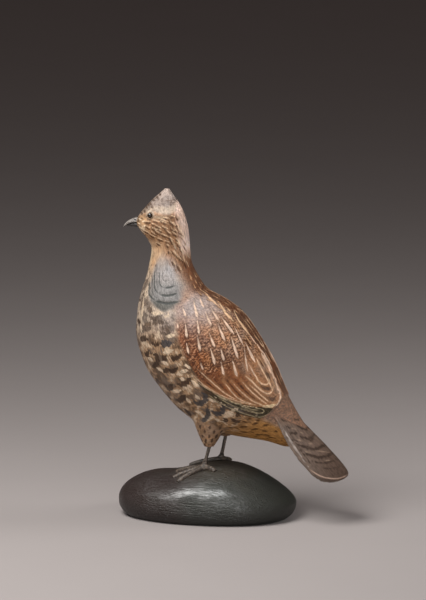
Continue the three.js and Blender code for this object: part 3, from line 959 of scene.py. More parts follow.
# Bars across the tail as shares of its length and half width, with half widths before they swell.
TAIL_BAR_SWELL = 1.6
TAIL_BARS = [
    ([(0.33, 0.42), (0.38, 0.30), (0.42, 0.16), (0.40, 0.0)], 0.36),
    ([(0.38, 0.84), (0.41, 0.61)], 0.42),
    ([(0.44, 0.61), (0.48, 0.50), (0.51, 0.35), (0.50, 0.0)], 0.36),
    ([(0.53, 0.84), (0.57, 0.68), (0.60, 0.60), (0.63, 0.43), (0.63, 0.26), (0.64, 0.0)], 0.40),
    ([(0.54, 0.42), (0.52, 0.20)], 0.30),
    ([(0.66, 0.87), (0.67, 0.72), (0.71, 0.62), (0.73, 0.46), (0.74, 0.24), (0.74, 0.0)], 0.40),
    ([(0.75, 0.79), (0.78, 0.64), (0.80, 0.41), (0.82, 0.0)], 0.24),
    ([(0.46, 0.88), (0.49, 0.76)], 0.28),
    ([(0.29, 0.79), (0.34, 0.68)], 0.30),
    ([(0.25, 0.45), (0.30, 0.20), (0.31, 0.0)], 0.30),
    ([(0.17, 0.62), (0.20, 0.42), (0.22, 0.22), (0.22, 0.0)], 0.30),
    ([(0.21, 0.86), (0.25, 0.70)], 0.30),
    ([(0.84, 0.70), (0.87, 0.45), (0.89, 0.10)], 0.16),
]
TAIL_GLINTS = [
    [(0.41, 0.49), (0.44, 0.38)],
    [(0.55, 0.53), (0.57, 0.36)],
    [(0.64, 0.50), (0.68, 0.32), (0.72, 0.12)],
    [(0.47, 0.74), (0.51, 0.60)],
    [(0.62, 0.78), (0.66, 0.62)],
    [(0.77, 0.50), (0.79, 0.30)],
    [(0.33, 0.70), (0.37, 0.52)],
]
# A painted highlight along the tail's edges, and a line of painted shade just inside it.
TAIL_HIGHLIGHT_LINE = [(0.30, 0.93), (0.45, 0.93), (0.60, 0.93), (0.75, 0.94), (0.86, 0.95)]
TAIL_EDGE_SHADE = [(0.30, 0.82), (0.45, 0.83), (0.60, 0.84), (0.75, 0.85), (0.88, 0.87)]
TAIL_END_LINE = [
    (0.89, 0.97), (0.92, 0.93), (0.95, 0.84), (0.965, 0.70), (0.98, 0.50), (0.985, 0.25), (0.985, 0.0),
]


def dashed(strokes, table, half_width, colour, reach=0.0, **shape):
    """Strokes from a table of rows x, z, x, z and, where a row has it, a half width."""
    for row in table:
        start, end = np.array(row[0:2]), np.array(row[2:4])
        run = (end - start) * reach
        strokes.side([start - run, end + run], row[4] if len(row) > 4 else half_width, colour, **shape)


def beside(table, shift):
    """Rows of a table of dashes, moved sideways."""
    moved = []
    for row in table:
        start, end = np.array(row[0:2]), np.array(row[2:4])
        across = np.array([start[1] - end[1], end[0] - start[0]]) / np.linalg.norm(end - start) * shift
        moved.append((*(start + across), *(end + across)))
    return moved


def between(line, other):
    """A line half way between two others."""
    return (spaced_through(line, 8) + spaced_through(other, 8)) / 2


def down_the_body(strokes, angles, cuts, length, half_width, colour, **shape):
    """Rows of short strokes down the body at set angles from the back, each row shifted from the last."""
    step = cuts[1] - cuts[0]
    for row, angle in enumerate(angles):
        for cut in cuts + step / 2 * (row % 2):
            line = body_point(np.linspace(cut, cut + length, 4), np.full(4, float(angle)))
            strokes.add(line, half_width, colour, **shape)


def breast_middle(strokes):
    """Dark dabs in rows across the middle of the breast, which the side view can't hold."""
    for row, cut in enumerate(np.arange(7.2, 11.9, 0.42)):
        for angle in (160, 180) if row % 2 else (170,):
            spread = 200 / float(sweep_through(CUTS, cut)[4])
            angles = angle + spread * np.array([-0.55, -0.2, 0.2, 0.55])
            line = body_point(cut + np.array([-0.12, 0.04, 0.04, -0.12]), angles)
            strokes.add(line, 0.85, DAB_BROWN, ragged=0.6, both=angle < 180)


def thigh_rows(strokes):
    """Dark dabs in rows round both thighs."""
    for limb in LIMBS.values():
        for row, rise in enumerate(np.arange(0.6, 8.5, 1.7)):
            for turn in np.arange(0, 360, 40) + 20 * (row % 2):
                line = thigh_point(limb, rise + np.linspace(1.5, 0, 4), math.radians(turn))
                strokes.add(line, 0.48, DAB_BROWN, ragged=0.5, both=False)


def pale_strokes():
    """Streaks, stripes, feather edges and pale tips."""
    strokes = Strokes()
    dashed(strokes, COVERT_STREAKS, 0.6, BUFF, reach=0.15, head=0.75, foot=0.2, ragged=0.15)
    dashed(strokes, SCAPULAR_STREAKS, 0.8, WARM_BUFF, reach=0.05, head=0.6, foot=0.3, ragged=0.2)
    strokes.side(WING_STRIPE, 1.55, STRIPE_BUFF, head=0.6, foot=0.35, ragged=0.6)
    strokes.side(STRIPE_HEART, 0.9, BUFF, ragged=0.5)
    strokes.side(WING_EDGE_LINE, 0.42, BUFF, head=0.1, foot=0.1)
    strokes.side(WING_LOWER_EDGE, 0.26, TIP_GOLD, head=0.3, foot=0.1, ragged=0.4)
    strokes.side(WING_TIP_EDGE, 0.75, TIP_GOLD, head=0.4, foot=0.3, ragged=0.4)
    strokes.sides(TERTIAL_LINES, 0.33, PALE_LINE, head=0.1, foot=0.2)
    strokes.sides(SECONDARY_LINES, 0.26, PALE_LINE, head=0.3, foot=0.15)
    strokes.sides(PRIMARY_LINES, 0.19, OLIVE_LINE, head=0.1, foot=0.1, ragged=0.0)
    dashed(strokes, beside(CHEEK_DASHES, 0.66), 0.24, CHEEK_PALE, reach=0.3, ragged=0.15)
    dashed(strokes, beside(NAPE_DASHES, 0.6), 0.24, CREAM, reach=0.1, ragged=0.2)
    dashed(strokes, LORE_PALE, 0.30, LORE_CREAM, reach=0.1, ragged=0.2)
    dashed(strokes, BREAST_TIPS, 0.75, CREAM, reach=0.2, ragged=0.6)
    for line in TAIL_GLINTS:
        strokes.add(tail_line(line), 0.24, TAIL_GLINT, ragged=0.5)
    # A painted highlight along each edge of the tail.
    strokes.add(tail_line(TAIL_HIGHLIGHT_LINE), 0.48, PAINTED_TAIL_HIGHLIGHT, head=0.2, foot=0.5, ragged=0.5)
    strokes.add(tail_line(TAIL_END_LINE), 0.30, TAIL_TAN, head=0.1, foot=0.1, ragged=0.0)
    mantle_cuts = np.arange(5.4, 11.4, 0.66)
    mantle_shape = {"head": 0.7, "foot": 0.25, "ragged": 0.3}
    down_the_body(strokes, (5, 14, 23), mantle_cuts, 0.42, 0.42, MANTLE_PALE, **mantle_shape)
    return strokes


def dark_strokes():
    """Dashes, dabs, ticks and bars."""
    strokes = Strokes()
    dashed(strokes, CHEEK_DASHES, 0.47, CHEEK_DARK, reach=0.22, head=0.4, foot=0.3, ragged=0.25)
    dashed(strokes, beside(CHEEK_DASHES, -0.95), 0.24, CHEEK_BROWN, reach=0.05, ragged=0.3)
    dashed(strokes, FOREHEAD_FLECKS, 0.46, FLECK_DARK, reach=0.2, ragged=0.3)
    dashed(strokes, NAPE_DASHES, 0.30, NAPE_DARK, reach=0.1, ragged=0.3)
    dashed(strokes, LORE_DARK, 0.28, LORE_BROWN, reach=0.1, ragged=0.3)
    for line, half_width, colour in BREAST_MARKS:
        strokes.side(line, half_width * BREAST_MARK_SWELL, colour, head=0.25, foot=0.25, ragged=0.8)
    dashed(strokes, UNDERTAIL_TICKS, 0.50, TICK, reach=0.32, ragged=0.3)
    # Dark strokes half way between the secondaries' pale lines: painted shade where the feathers overlap.
    for first, second in zip(SECONDARY_LINES[:-1], SECONDARY_LINES[1:]):
        strokes.side(between(first, second), 0.34, DARK_RUST_AND_OVERLAP_SHADE, head=0.2, foot=0.5, ragged=0.5)
    strokes.sides(TERTIAL_HEARTS, 0.75, TERTIAL_DARK, ragged=0.4)
    strokes.add(tail_line(TAIL_EDGE_SHADE), 0.22, TAIL_DARK, ragged=0.6)
    for line, half_width in TAIL_BARS:
        strokes.add(tail_line(line), half_width * TAIL_BAR_SWELL, TAIL_DARK, head=0.2, foot=0.1, ragged=1.0)
    breast_middle(strokes)
    undertail_cuts = np.arange(12.2, 14.4, 0.3)
    down_the_body(strokes, range(118, 181, 16), undertail_cuts, 0.12, 0.32, TICK, ragged=0.3)
    throat_cuts = np.arange(4.7, 7.0, 0.30)
    down_the_body(strokes, range(118, 181, 10), throat_cuts, 0.09, 0.28, DAB_BROWN, ragged=0.4)
    back_cuts = np.arange(6.4, 11.2, 0.55)
    down_the_body(strokes, (1, 13, 25), back_cuts, 0.3, 0.30, DARK_RUST_AND_OVERLAP_SHADE, ragged=0.5)
    thigh_rows(strokes)
    return strokes


def groove_strokes():
    """Grooves cut between the feathers of the ruff."""
    strokes = Strokes()
    for line, half_width in RUFF_GROOVES:
        strokes.side(line, half_width, GROOVE_DARK, head=0.15, foot=0.3)
    return strokes


def shaft_gap(points):
    """Distance from the nearest shaft line of the wing coverts."""
    shafts = Strokes()
    shafts.sides(SHAFT_LINES, 0.0, BUFF)
    inside, _, _ = shafts.measure(points)
    return -inside


# Ground colours under the strokes

GROUND = {
    "wash": (0.40, 0.29, 0.20),
    "neck": (0.38, 0.21, 0.12),
    "front of the neck": (0.54, 0.34, 0.20),
    "throat": (0.70, 0.55, 0.36),
    "painted shade under the jaw": (0.36, 0.20, 0.10),
    "nape": (0.86, 0.66, 0.57),
    "jaw": (0.50, 0.31, 0.18),
    "cheek": (0.21, 0.105, 0.048),
    "behind the eye": (0.15, 0.070, 0.030),
    "over the eye": (0.28, 0.22, 0.15),
    "before the eye": (0.46, 0.30, 0.17),
    "below the bill": (0.66, 0.50, 0.33),
    "brow": (0.50, 0.395, 0.31),
    "cap": (0.30, 0.24, 0.21),
    "front of the cap": (0.23, 0.17, 0.13),
    "forehead": (0.17, 0.115, 0.078),
    "root of the bill": (0.24, 0.15, 0.085),
    "crest": (0.41, 0.34, 0.31),
    "ruff": (0.35, 0.315, 0.30),
    "lower ruff": (0.235, 0.223, 0.215),
    "edge of the ruff": (0.125, 0.118, 0.105),
    "front of the ruff": (0.20, 0.18, 0.165),
    "breast": (0.42, 0.33, 0.255),
    "belly": (0.34, 0.21, 0.120),
    "vent": (0.31, 0.18, 0.092),
    "undertail": (0.38, 0.185, 0.055),
    "painted shade under the ruff": (0.25, 0.20, 0.175),
    "wing": (0.275, 0.097, 0.040),
    "back of the wing": (0.57, 0.345, 0.222),
    "tertials": (0.34, 0.195, 0.122),
    "secondaries": (0.215, 0.074, 0.025),
    "secondary tips": (0.42, 0.26, 0.13),
    "glow of the coverts": (0.40, 0.17, 0.055),
    "shade of the coverts": (0.19, 0.064, 0.024),
    "painted highlight of the shoulder": (0.41, 0.35, 0.335),
    "mantle": (0.195, 0.083, 0.042),
    "back": (0.150, 0.068, 0.038),
    "primaries": OLIVE,
    "rump": (0.27, 0.150, 0.097),
    "thigh": (0.27, 0.155, 0.085),
    "middle of the tail": (0.142, 0.096, 0.073),
    "side of the tail": (0.150, 0.108, 0.086),
    "beneath the tail": (0.17, 0.13, 0.105),
    "end of the tail": (0.084, 0.053, 0.039),
}
LID_SHADE = (0.10, 0.07, 0.045)
LID_LIGHT = (0.50, 0.42, 0.33)

# Where patches of the ground end: cut numbers at degrees from the back.
NECK_END = [(0, 6.0), (60, 5.3), (110, 5.2), (180, 6.0)]
CAP_END = [(0, 0.7), (26, 0.75), (42, 0.95), (67, 1.0), (116, 1.0), (144, 1.2), (172, 1.75), (180, 1.8)]
BROW_WIDTH = [(0, 0.1), (30, 0.2), (60, 0.4), (90, 0.36), (116, 0.22), (144, 0.26), (172, 0.12)]
BREAST_START = [(80, 5.3), (130, 4.9), (180, 4.9)]
# The ruff's middle, its half width and the mantle's edge along X, at heights.
RUFF_MIDDLE = [(79, -12.0), (84, -12.2), (88, -13.4), (96, -14.2)]
RUFF_HALF = [(78, 0.5), (80, 4.5), (82, 7.2), (84, 8.2), (88, 7.2), (92, 5.8), (96, 3.9), (100, 2.0)]
MANTLE_EDGE = [(84, -1.6), (86.7, -4.6), (91, -7.6), (96, -9.6), (99, -10.8)]
# How softly the wing's lower edge fades into the breast, at cut numbers.
WING_FADE = [(6.5, 5.0), (8.2, 4.2), (9.2, 2.6), (10.2, 1.0), (10.7, 0.4)]


class Ground:
    """Colours laid over each other at the points of the skin; each method lays one part of the bird."""

    def __init__(self, skin):
        self.x, self.z = skin.points[:, 0], skin.points[:, 2]
        self.cut, self.spread = skin.cut, np.abs(skin.angle)
        self.secondaries, self.primaries, self.tip = wing_distances(skin.cut, skin.angle)
        self.colour = np.tile(GROUND["wash"], (len(skin.points), 1))

    def lay(self, paint, amount):
        self.colour = blended(self.colour, GROUND[paint], np.clip(amount, 0, 1))

    def spot(self, at_x, at_z, reach_x, reach_z):
        """A soft spot of the side view."""
        return hump(self.x, at_x, reach_x) * hump(self.z, at_z, reach_z)

    def neck(self):
        cut, spread = self.cut, self.spread
        neck = 1 - past(cut, read_off(spread, NECK_END), 0.9)
        self.lay("neck", neck)
        self.lay("front of the neck", neck * past(spread, 92, 30) * past(cut, 2.7, 0.6))
        self.lay("throat", neck * past(spread, 150, 26) * past(cut, 3.0, 0.5))
        # Painted shade: a darker brown band on the underside just below the jaw.
        self.lay("painted shade under the jaw", past(spread, 100, 30) * past(cut, 2.25, 0.3) * (1 - past(cut, 2.85, 0.4)))
        self.lay("nape", (1 - past(spread, 44, 24)) * past(cut, 0.7, 0.5) * (1 - past(cut, 4.1, 1.4)))
        return neck

    def head(self):
        cut, spread = self.cut, self.spread
        self.lay("jaw", past(spread, 112, 26) * past(cut, 1.5, 0.4) * (1 - past(cut, 2.35, 0.5)))
        self.lay("cheek", 0.92 * self.spot(-14.0, 107.0, 5.8, 5.4))
        self.lay("behind the eye", 0.95 * self.spot(-13.0, 112.3, 3.0, 1.2))
        self.lay("over the eye", 0.8 * self.spot(-17.2, 112.4, 3.0, 0.8))
        self.lay("before the eye", 0.8 * self.spot(-23.4, 111.0, 1.5, 1.3))
        self.lay("below the bill", 0.8 * self.spot(-24.2, 107.8, 2.2, 1.0))
        cap_end = read_off(spread, CAP_END)
        brow_end = cap_end + read_off(spread, BROW_WIDTH)
        self.lay("brow", (1 - past(cut, brow_end, 0.2)) * past(spread, 25, 36))
        cap = 1 - past(cut, cap_end, 0.24)
        self.lay("cap", cap)
        self.lay("front of the cap", 0.9 * cap * past(spread, 146, 24) * past(cut, 0.4, 0.3))
        self.lay("forehead", 0.85 * self.spot(-24.4, 114.6, 3.0, 1.8))
        self.lay("root of the bill", 0.85 * self.spot(-26.0, 110.6, 1.5, 2.2))
        self.lay("crest", (1 - past(cut, 0.5, 0.45)) * (1 - 0.5 * past(spread, 140, 30)))
        return cap

    def ruff(self):
        x, z = self.x, self.z
        middle = read_off(z, RUFF_MIDDLE)
        soft = np.where(x > middle, 5.5, 2.4)
        half = read_off(z, RUFF_HALF) - 0.3 - 0.3 * (soft - 2.4)
        ruff = (1 - past(np.abs(x - middle), half, soft)) * past(z, 78.6, 1.6) * (1 - past(z, 97.5, 6))
        self.lay("ruff", ruff)
        self.lay("lower ruff", ruff * (1 - past(z, 89, 5)))
        self.lay("edge of the ruff", ruff * (1 - past(z, 82.4, 1.4)))
        self.lay("front of the ruff", ruff * 0.6 * past(-x, 17.6, 2.0))
        return ruff

    def breast(self, ruff):
        cut, spread = self.cut, self.spread
        front = (1 - ruff) * past(spread, 76, 24)
        breast = past(cut, read_off(spread, BREAST_START), 0.8) * front
        undertail = past(cut, 12.2, 0.8) * past(spread, 76, 16)
        self.lay("breast", breast)
        self.lay("belly", breast * past(cut, 8.0, 1.8))
        self.lay("vent", past(cut, 11.1, 1.4) * past(spread, 76, 20))
        self.lay("undertail", undertail)
        # Painted shade: a darker grey-brown patch on the breast just under the ruff.
        self.lay("painted shade under the ruff", 0.75 * self.spot(-11.0, 73.0, 5.5, 4.5) * front)
        return breast, undertail

    def wing(self, ruff):
        cut, spread, tip = self.cut, self.spread, self.tip
        inside = past(self.secondaries, 0, read_off(cut, WING_FADE))
        wing = past(cut, 6.4, 1.2) * inside * past(tip, 0, 0.3) * (1 - ruff)
        self.lay("wing", wing)
        rear = (1 - past(spread, 62, 40)) * past(spread, 14, 10)
        self.lay("back of the wing", wing * rear)
        self.lay("tertials", wing * rear * past(cut, 10.4, 0.8))
        self.lay("secondaries", wing * past(cut, 10.3, 0.7) * past(spread, 50, 18))
        self.lay("secondary tips", 0.8 * wing * self.spot(19.0, 44.8, 8.0, 2.6))
        self.lay("glow of the coverts", 0.6 * wing * self.spot(4.5, 61.5, 5.0, 4.5))
        self.lay("shade of the coverts", 0.6 * wing * self.spot(-3.5, 68.5, 5.5, 7.5))
        # A painted highlight: a glossy pale grey patch laid over the top of the wing at the shoulder.
        painted_shoulder_highlight = self.spot(-1.0, 81.0, 10.5, 7.5) * (1 - ruff) * past(spread, 18, 14)
        self.lay("painted highlight of the shoulder", 0.95 * painted_shoulder_highlight)
        return wing, painted_shoulder_highlight

    def back(self):
        cut, spread, tip = self.cut, self.spread, self.tip
        mantle = past(self.x, read_off(self.z, MANTLE_EDGE), 4.0) * past(cut, 4.6, 0.7)
        mantle = mantle * (1 - past(cut, 7.0, 1.0)) * (1 - past(spread, 78, 16))
        self.lay("mantle", mantle)
        back = past(cut, 5.1, 0.8) * (1 - past(spread, 15, 12)) * past(tip, -1.0, 2.0)
        self.lay("back", back)
        under_wing = past(self.primaries, 0, 0.2) * (1 - past(self.secondaries, 0, 0.2))
        self.lay("primaries", past(cut, 10.6, 0.4) * under_wing * past(tip, 0, 0.3))
        rump = past(-tip, 0.2, 0.5 + 4.5 * (1 - past(spread, 14, 12))) * (1 - past(spread, 74, 20))
        self.lay("rump", rump)
        return mantle, back, rump

    def tail(self, share, on_tail, on_top):
        middle, side = GROUND["middle of the tail"], GROUND["side of the tail"]
        top = blended(middle, side, past(np.abs(share), 0.6, 0.7))
        tail = blended(GROUND["beneath the tail"], top, on_top)
        self.colour = blended(self.colour, tail, on_tail)
        self.lay("end of the tail", 0.65 * on_tail * on_top * past(self.x, 46, 8))


def ground_colour(skin):
    """The colour under the strokes at each point of the skin, and how far each pattern shows there."""
    cut, spread = skin.cut, np.abs(skin.angle)
    bared = skin.on_tail * ease((skin.t - 0.07 - 0.17 * (1 - np.abs(skin.share))) / 0.22)
    ground = Ground(skin)
    neck = ground.neck()
    cap = ground.head()
    ruff = ground.ruff()
    breast, undertail = ground.breast(ruff)
    wing, painted_shoulder_highlight = ground.wing(ruff)
    mantle, back, rump = ground.back()
    ground.lay("thigh", skin.on_thigh)
    ground.tail(skin.share, bared, skin.on_top)

    plain = 1 - bared
    coverts = 1 - past(cut, 10.7, 0.5)
    speckled = 0.7 * cap * past(cut, 0.5, 0.4) + 0.9 * rump + 0.5 * mantle * (1 - back)
    feathered = (1 - wing) * (1 - ruff) * (1 - undertail) * (1 - 0.45 * skin.on_thigh)
    # The wing's bars and warm tone are kept off the painted highlight of the shoulder.
    amounts = {
        "barred": wing * (1 - 0.75 * painted_shoulder_highlight) * coverts * (1 - 0.5 * back) * plain,
        "quills": wing * past(cut, 10.6, 0.4) * past(spread, 30, 16) * plain,
        "speckled": speckled * plain,
        "warm": np.clip(wing * (1 - painted_shoulder_highlight) + 0.3 * neck, 0, 1) * plain,
        "mottled": np.clip(breast + skin.on_thigh, 0, 1) * feathered * plain,
    }
    return ground.colour, amounts


# The carving


def thigh_shell(limb):
    """A tapering thigh whose feathers end in a ragged cuff."""
    sides = THIGH_MESH["sides"]
    turns = around(sides)
    ragged = np.abs(np.sin(CUFF["points"] / 2 * turns))
    rings = []
    for rise in np.linspace(0, THIGH_HEIGHT, THIGH_MESH["rings"]):
        ring = thigh_point(limb, np.full(sides, rise), turns)
        ring[:, 2] += CUFF["depth"] * max(0, 1 - rise / CUFF["reach"]) * ragged
        rings.append(ring)
    return shell(rings)


def tail_shell():
    """The fanned tail, thinner toward its sides and its end."""
    columns = np.sin(np.pi / 2 * np.linspace(-1, 1, TAIL_MESH["columns"]))
    t, share = np.meshgrid(np.linspace(0, 1, TAIL_MESH["rows"]), columns, indexing="ij")
    top, along = tail_top(t, share)
    thick = TAIL_THICKNESS * (1 - 0.5 * share**8) * (1 - TAIL_END["thinner"] * tail_rounding(along))
    beneath = top + TAIL_DOWN * thick[..., None]
    return shell(np.concatenate([top, beneath[:, ::-1]], 1))


def carved_skin():
    """The whole carving as one skin, its mesh points pulled onto the body's surface."""
    sides = BODY_MESH["sides"]
    cuts = np.linspace(0, len(CUTS) - 1, BODY_MESH["rings"])
    rings = body_point(*np.meshgrid(cuts, np.arange(sides) * 360 / sides, indexing="ij"))
    thighs = [thigh_shell(limb) for limb in LIMBS.values()]
    made = piece("grouse_carving", *joined([shell(rings), tail_shell(), *thighs]))
    fuse(made, CARVING_GRID)
    points = softened(made, points_of(made), 3)
    cut, angle = place_on_body(points)
    on_skin = body_point(cut, angle)
    gap = np.linalg.norm(points - on_skin, axis=1)
    by_thigh = near_thigh_tops(points)
    points = softened(made, points, 60, 0.6 * by_thigh[:, None])
    snap = (1 - ease((gap - 0.2) / 0.3)) * (1 - ease(by_thigh / 0.3))
    points = blended(points, on_skin, snap)
    move_points(made, points)
    return made, points, cut, angle, gap


class Skin:
    """The carving's mesh points, and where each lies on the body, the tail and the thighs."""

    def __init__(self, made, points, cut, angle, gap):
        self.made, self.points = made, points
        self.cut, self.angle, self.gap = cut, angle, gap
        self.normals = normals_of(made)
        self.t, self.share, self.depth = place_on_tail(points)
        tail_gap = np.minimum(np.abs(self.depth), np.abs(self.depth - TAIL_THICKNESS))
        off_body = ease((gap - 0.25) / 0.3) * ease((self.t - 0.1) / 0.06)
        self.on_tail = off_body * (1 - ease((tail_gap - 1.2) / 0.5))
        self.on_top = 1 - ease((self.depth - 0.3 * TAIL_THICKNESS) / 0.3)
        by_legs = (points[:, 2] < 41) & (points[:, 0] < 16) & (points[:, 0] > -7)
        self.on_thigh = ease((gap - 0.1) / 1.6) * (1 - self.on_tail) * by_legs

    def raise_feathers(self, pale, groove):
        """Raises the wings, the tail's feathers and the pale streaks, and cuts the ruff's grooves."""
        on_body = 1 - self.on_tail
        rise = wing_rise(self.cut, self.angle) * on_body * (1 - ease((self.gap - 0.4) / 0.5))
        relief = rise * (BACK_RISE_SHARE + (1 - BACK_RISE_SHARE) * np.abs(self.normals[:, 1]))
        relief -= RUFF_CUT * ease((groove + 0.3) / 0.5)
        width = np.abs(self.share)
        feather = np.mod(width * TAIL_FEATHERS, 1)
        open_tail = (1 - ease((width - 0.93) / 0.05)) * ease((self.t - 0.2) / 0.1)
        relief += self.on_tail * TAIL_STEP * (feather - 0.5) * open_tail
        on_coverts = ease((self.cut - 6.6) / 0.6) * on_body
        relief += STREAK_RISE * ease((pale + 0.25) / 0.5) * on_coverts
        self.points = self.points + self.normals * relief[:, None]

    def set_eyes(self):
        """Raises a lid round each eye and sinks its socket; gives how far each point lies on a lid."""
        points = self.points
        to_eye = np.hypot(points[:, 0] - EYE["x"], points[:, 2] - EYE["z"])
        face = (points[:, 2] > 100) & (np.abs(points[:, 1]) > 3)
        outward = np.sign(points[:, 1])
        lid = face * hump(to_eye, EYELID["radius"], EYELID["width"])
        points[:, 1] += EYELID["rise"] * lid * outward
        sunk = face * (1 - ease((to_eye - SOCKET["radius"]) / SOCKET["soft"]))
        floor = outward * np.minimum(np.abs(points[:, 1]), EYE["floor"])
        points[:, 1] += sunk * (floor - points[:, 1])
        return lid

    def flow(self):
        """Places along and across the feathers, for patterns that follow them."""
        turn = np.radians(self.angle)
        half = np.interp(self.cut, np.arange(len(CUTS)), CUTS[:, 4])
        body = np.stack([run_at(self.cut), half * np.cos(turn), half * np.sin(turn)], 1)
        along = self.t * TAIL_LENGTH + TAIL_PATTERN["from"]
        tail = np.stack([along, self.share * TAIL_PATTERN["half"], self.depth], 1)
        return blended(body, tail, self.on_tail)

    def keep_strokes(self, name, strokes):
        """Stores where strokes lie, their paint and their raggedness."""
        inside, paint, ragged = strokes.measure(self.points)
        keep_number(self.made, name, inside)
        keep_colour(self.made, f"{name}_paint", paint)
        keep_number(self.made, f"{name}_ragged", ragged)
        return inside


def carved_bird():
    skin = Skin(*carved_skin())
    pale = skin.keep_strokes("pale", pale_strokes())
    skin.keep_strokes("dark", dark_strokes())
    groove, _, _ = groove_strokes().measure(skin.points)
    keep_number(skin.made, "groove", groove)
    skin.raise_feathers(pale, groove)
    lid = skin.set_eyes()
    move_points(skin.made, skin.points)

    colour, amounts = ground_colour(skin)
    lit = ease((skin.points[:, 2] - EYE["z"] + 0.6) / 1.4)
    lid_paint = blended(LID_SHADE, LID_LIGHT, lit)
    keep_colour(skin.made, "ground", blended(colour, lid_paint, lid))
    keep_vector(skin.made, "flow", skin.flow())
    keep_number(skin.made, "ladder", run_at(skin.cut) - LADDER["bow"] * shaft_gap(skin.points))
    for name, amount in amounts.items():
        keep_number(skin.made, name, amount)
    return skin.made


class FeatherCoat(Coat):
    """The carving's paint: a ground streaked along the feathers, then mottling, bars and strokes."""

    WARMER = (1.14, 0.97, 0.78)
    COOLER = (0.96, 1.10, 1.24)
    RUSTIER = (0.62, 0.52, 0.50)
    UMBER = (0.074, 0.040, 0.022)
    GREY_UMBER = (0.130, 0.100, 0.082)
    BAR_DARK = (0.058, 0.019, 0.009)
    BAR_LIGHT = (0.66, 0.37, 0.22)
    BARB_DARK = (0.105, 0.040, 0.018)
    SPECK = (0.15, 0.10, 0.075)
    HALO_DARK = (0.070, 0.028, 0.014)
    HALO_RUST = (0.44, 0.21, 0.095)

    def __init__(self):
        super().__init__("painted feathers")
        self.flow = self.attribute("flow", "Vector")
        where = self.place()
        self.streak = self.rising(self.noise(self.flow, (0.28, 1.5, 1.5)), 0.3, 0.7)
        self.hair = self.rising(self.noise(self.flow, (0.6, 3.4, 3.4), 1.0), 0.3, 0.7)
        self.mottle = self.noise(where, (0.9, 0.9, 0.9), 3.0)
        self.drift = self.noise(where, (0.16, 0.16, 0.16))
        self.ragged = self.noise(self.flow, (0.6, 1.9, 1.9)) - 0.5

    def brushed(self, colour, darkest, streaks, hairs):
        """A colour with the brush's streaks in it."""
        return self.shaded(colour, darkest + streaks * self.streak + hairs * self.hair)

    def ground(self):
        """The ground, drifting between a warmer and a cooler tone."""
        colour = self.brushed(self.attribute("ground", "Color"), 0.62, 0.42, 0.34)
        warm = self.rising(self.drift, 0.46, 0.62) * self.attribute("warm")
        colour = self.mix(colour, self.stretched(colour, self.WARMER), warm)
        cool = self.falling(self.drift, 0.36, 0.48) * self.attribute("warm")
        return self.mix(colour, self.stretched(colour, self.COOLER), cool)

    def mottled(self, colour):
        """Dark and bright patches of the breast, belly and thighs."""
        shown = self.attribute("mottled")
        patch = self.noise(self.flow, (0.36, 0.30, 0.30)) + self.ragged * 0.4
        greyed = self.rising(self.drift + self.ragged * 0.3, 0.40, 0.60)
        umber = self.mix(self.UMBER, self.GREY_UMBER, greyed)
        shade = self.rising(patch, 0.48, 0.56) * shown
        colour = self.mix(colour, self.brushed(umber, 0.55, 0.55, 0.35), shade * 0.76)
        glint = self.falling(patch, 0.36, 0.44) * shown
        return self.mix(colour, self.brushed(CREAM, 0.6, 0.4, 0.3), glint * 0.75)

    def barred(self, colour):
        """Broken rungs across the wing coverts."""
        shown = self.attribute("barred")
        wobble = self.noise(self.flow, (0.5, 0.5, 0.5))
        turns = self.attribute("ladder") * (2 * math.pi / LADDER["pitch"]) + wobble * 12.0
        rungs = self.maths("SINE", turns) * 0.045 + self.noise(self.flow, (1.55, 1.15, 1.15), 4.0, 0.85)
        blotch = self.rising(self.noise(self.flow, (0.42, 0.42, 0.42)), 0.42, 0.60)
        colour = self.mix(colour, self.stretched(colour, self.RUSTIER), blotch * 0.55 * shown)
        colour = self.mix(colour, self.BAR_DARK, self.rising(rungs, 0.45, 0.57) * shown * 0.88)
        return self.mix(colour, self.BAR_LIGHT, self.falling(rungs, 0.36, 0.46) * shown * 0.75)

    def speckled(self, colour):
        """Barbs of the quills, and specks of the cap, the rump and the mantle."""
        barbs = self.rising(self.noise(self.flow, (2.6, 1.0, 1.0), 1.0), 0.46, 0.58)
        colour = self.mix(colour, self.BARB_DARK, barbs * 0.6 * self.attribute("quills"))
        specks = self.rising(self.noise(self.flow, (1.5, 1.1, 1.1), 1.0), 0.50, 0.60)
        return self.mix(colour, self.SPECK, specks * self.attribute("speckled"))

    def stroke_mask(self, name, raggedness, low, high):
        """1 inside the strokes of a name, with ragged edges."""
        edge = self.attribute(name) + self.ragged * self.attribute(f"{name}_ragged") * raggedness
        return self.rising(edge, low, high)

    def stroked(self, colour, dark, pale):
        """Dark strokes, a shadow round the pale ones, the pale strokes and the ruff's grooves."""
        dark_paint = self.brushed(self.attribute("dark_paint", "Color"), 0.6, 0.5, 0.3)
        colour = self.mix(colour, dark_paint, dark * 0.92)
        halo = self.rising(self.attribute("pale"), -0.9, -0.35)
        colour = self.mix(colour, self.HALO_DARK, halo * 0.5 * self.attribute("barred"))
        colour = self.mix(colour, self.HALO_RUST, halo * 0.4 * self.attribute("quills"))
        pale_paint = self.brushed(self.attribute("pale_paint", "Color"), 0.6, 0.5, 0.3)
        colour = self.mix(colour, pale_paint, pale * 0.92)
        groove = self.rising(self.attribute("groove") + self.ragged * 0.3, -0.2, 0.14)
        return self.mix(colour, GROOVE_DARK, groove * 0.9)


def feather_paint():
    coat = FeatherCoat()
    dark = coat.stroke_mask("dark", 2.6, -0.16, 0.22)
    pale = coat.stroke_mask("pale", 2.2, -0.14, 0.2)
    colour = coat.speckled(coat.barred(coat.mottled(coat.ground())))
    height = coat.streak * 0.5 + coat.hair * 0.4 + coat.mottle * 0.3 + pale * 0.3 - dark * 0.1
    return coat.finish({
        "Base Color": coat.stroked(colour, dark, pale),
        "Roughness": 0.40 + coat.mottle * 0.22,
        "Specular IOR Level": 0.2,
        "Normal": coat.bump(height, 0.13),
    })


# Bill, eyes and legs


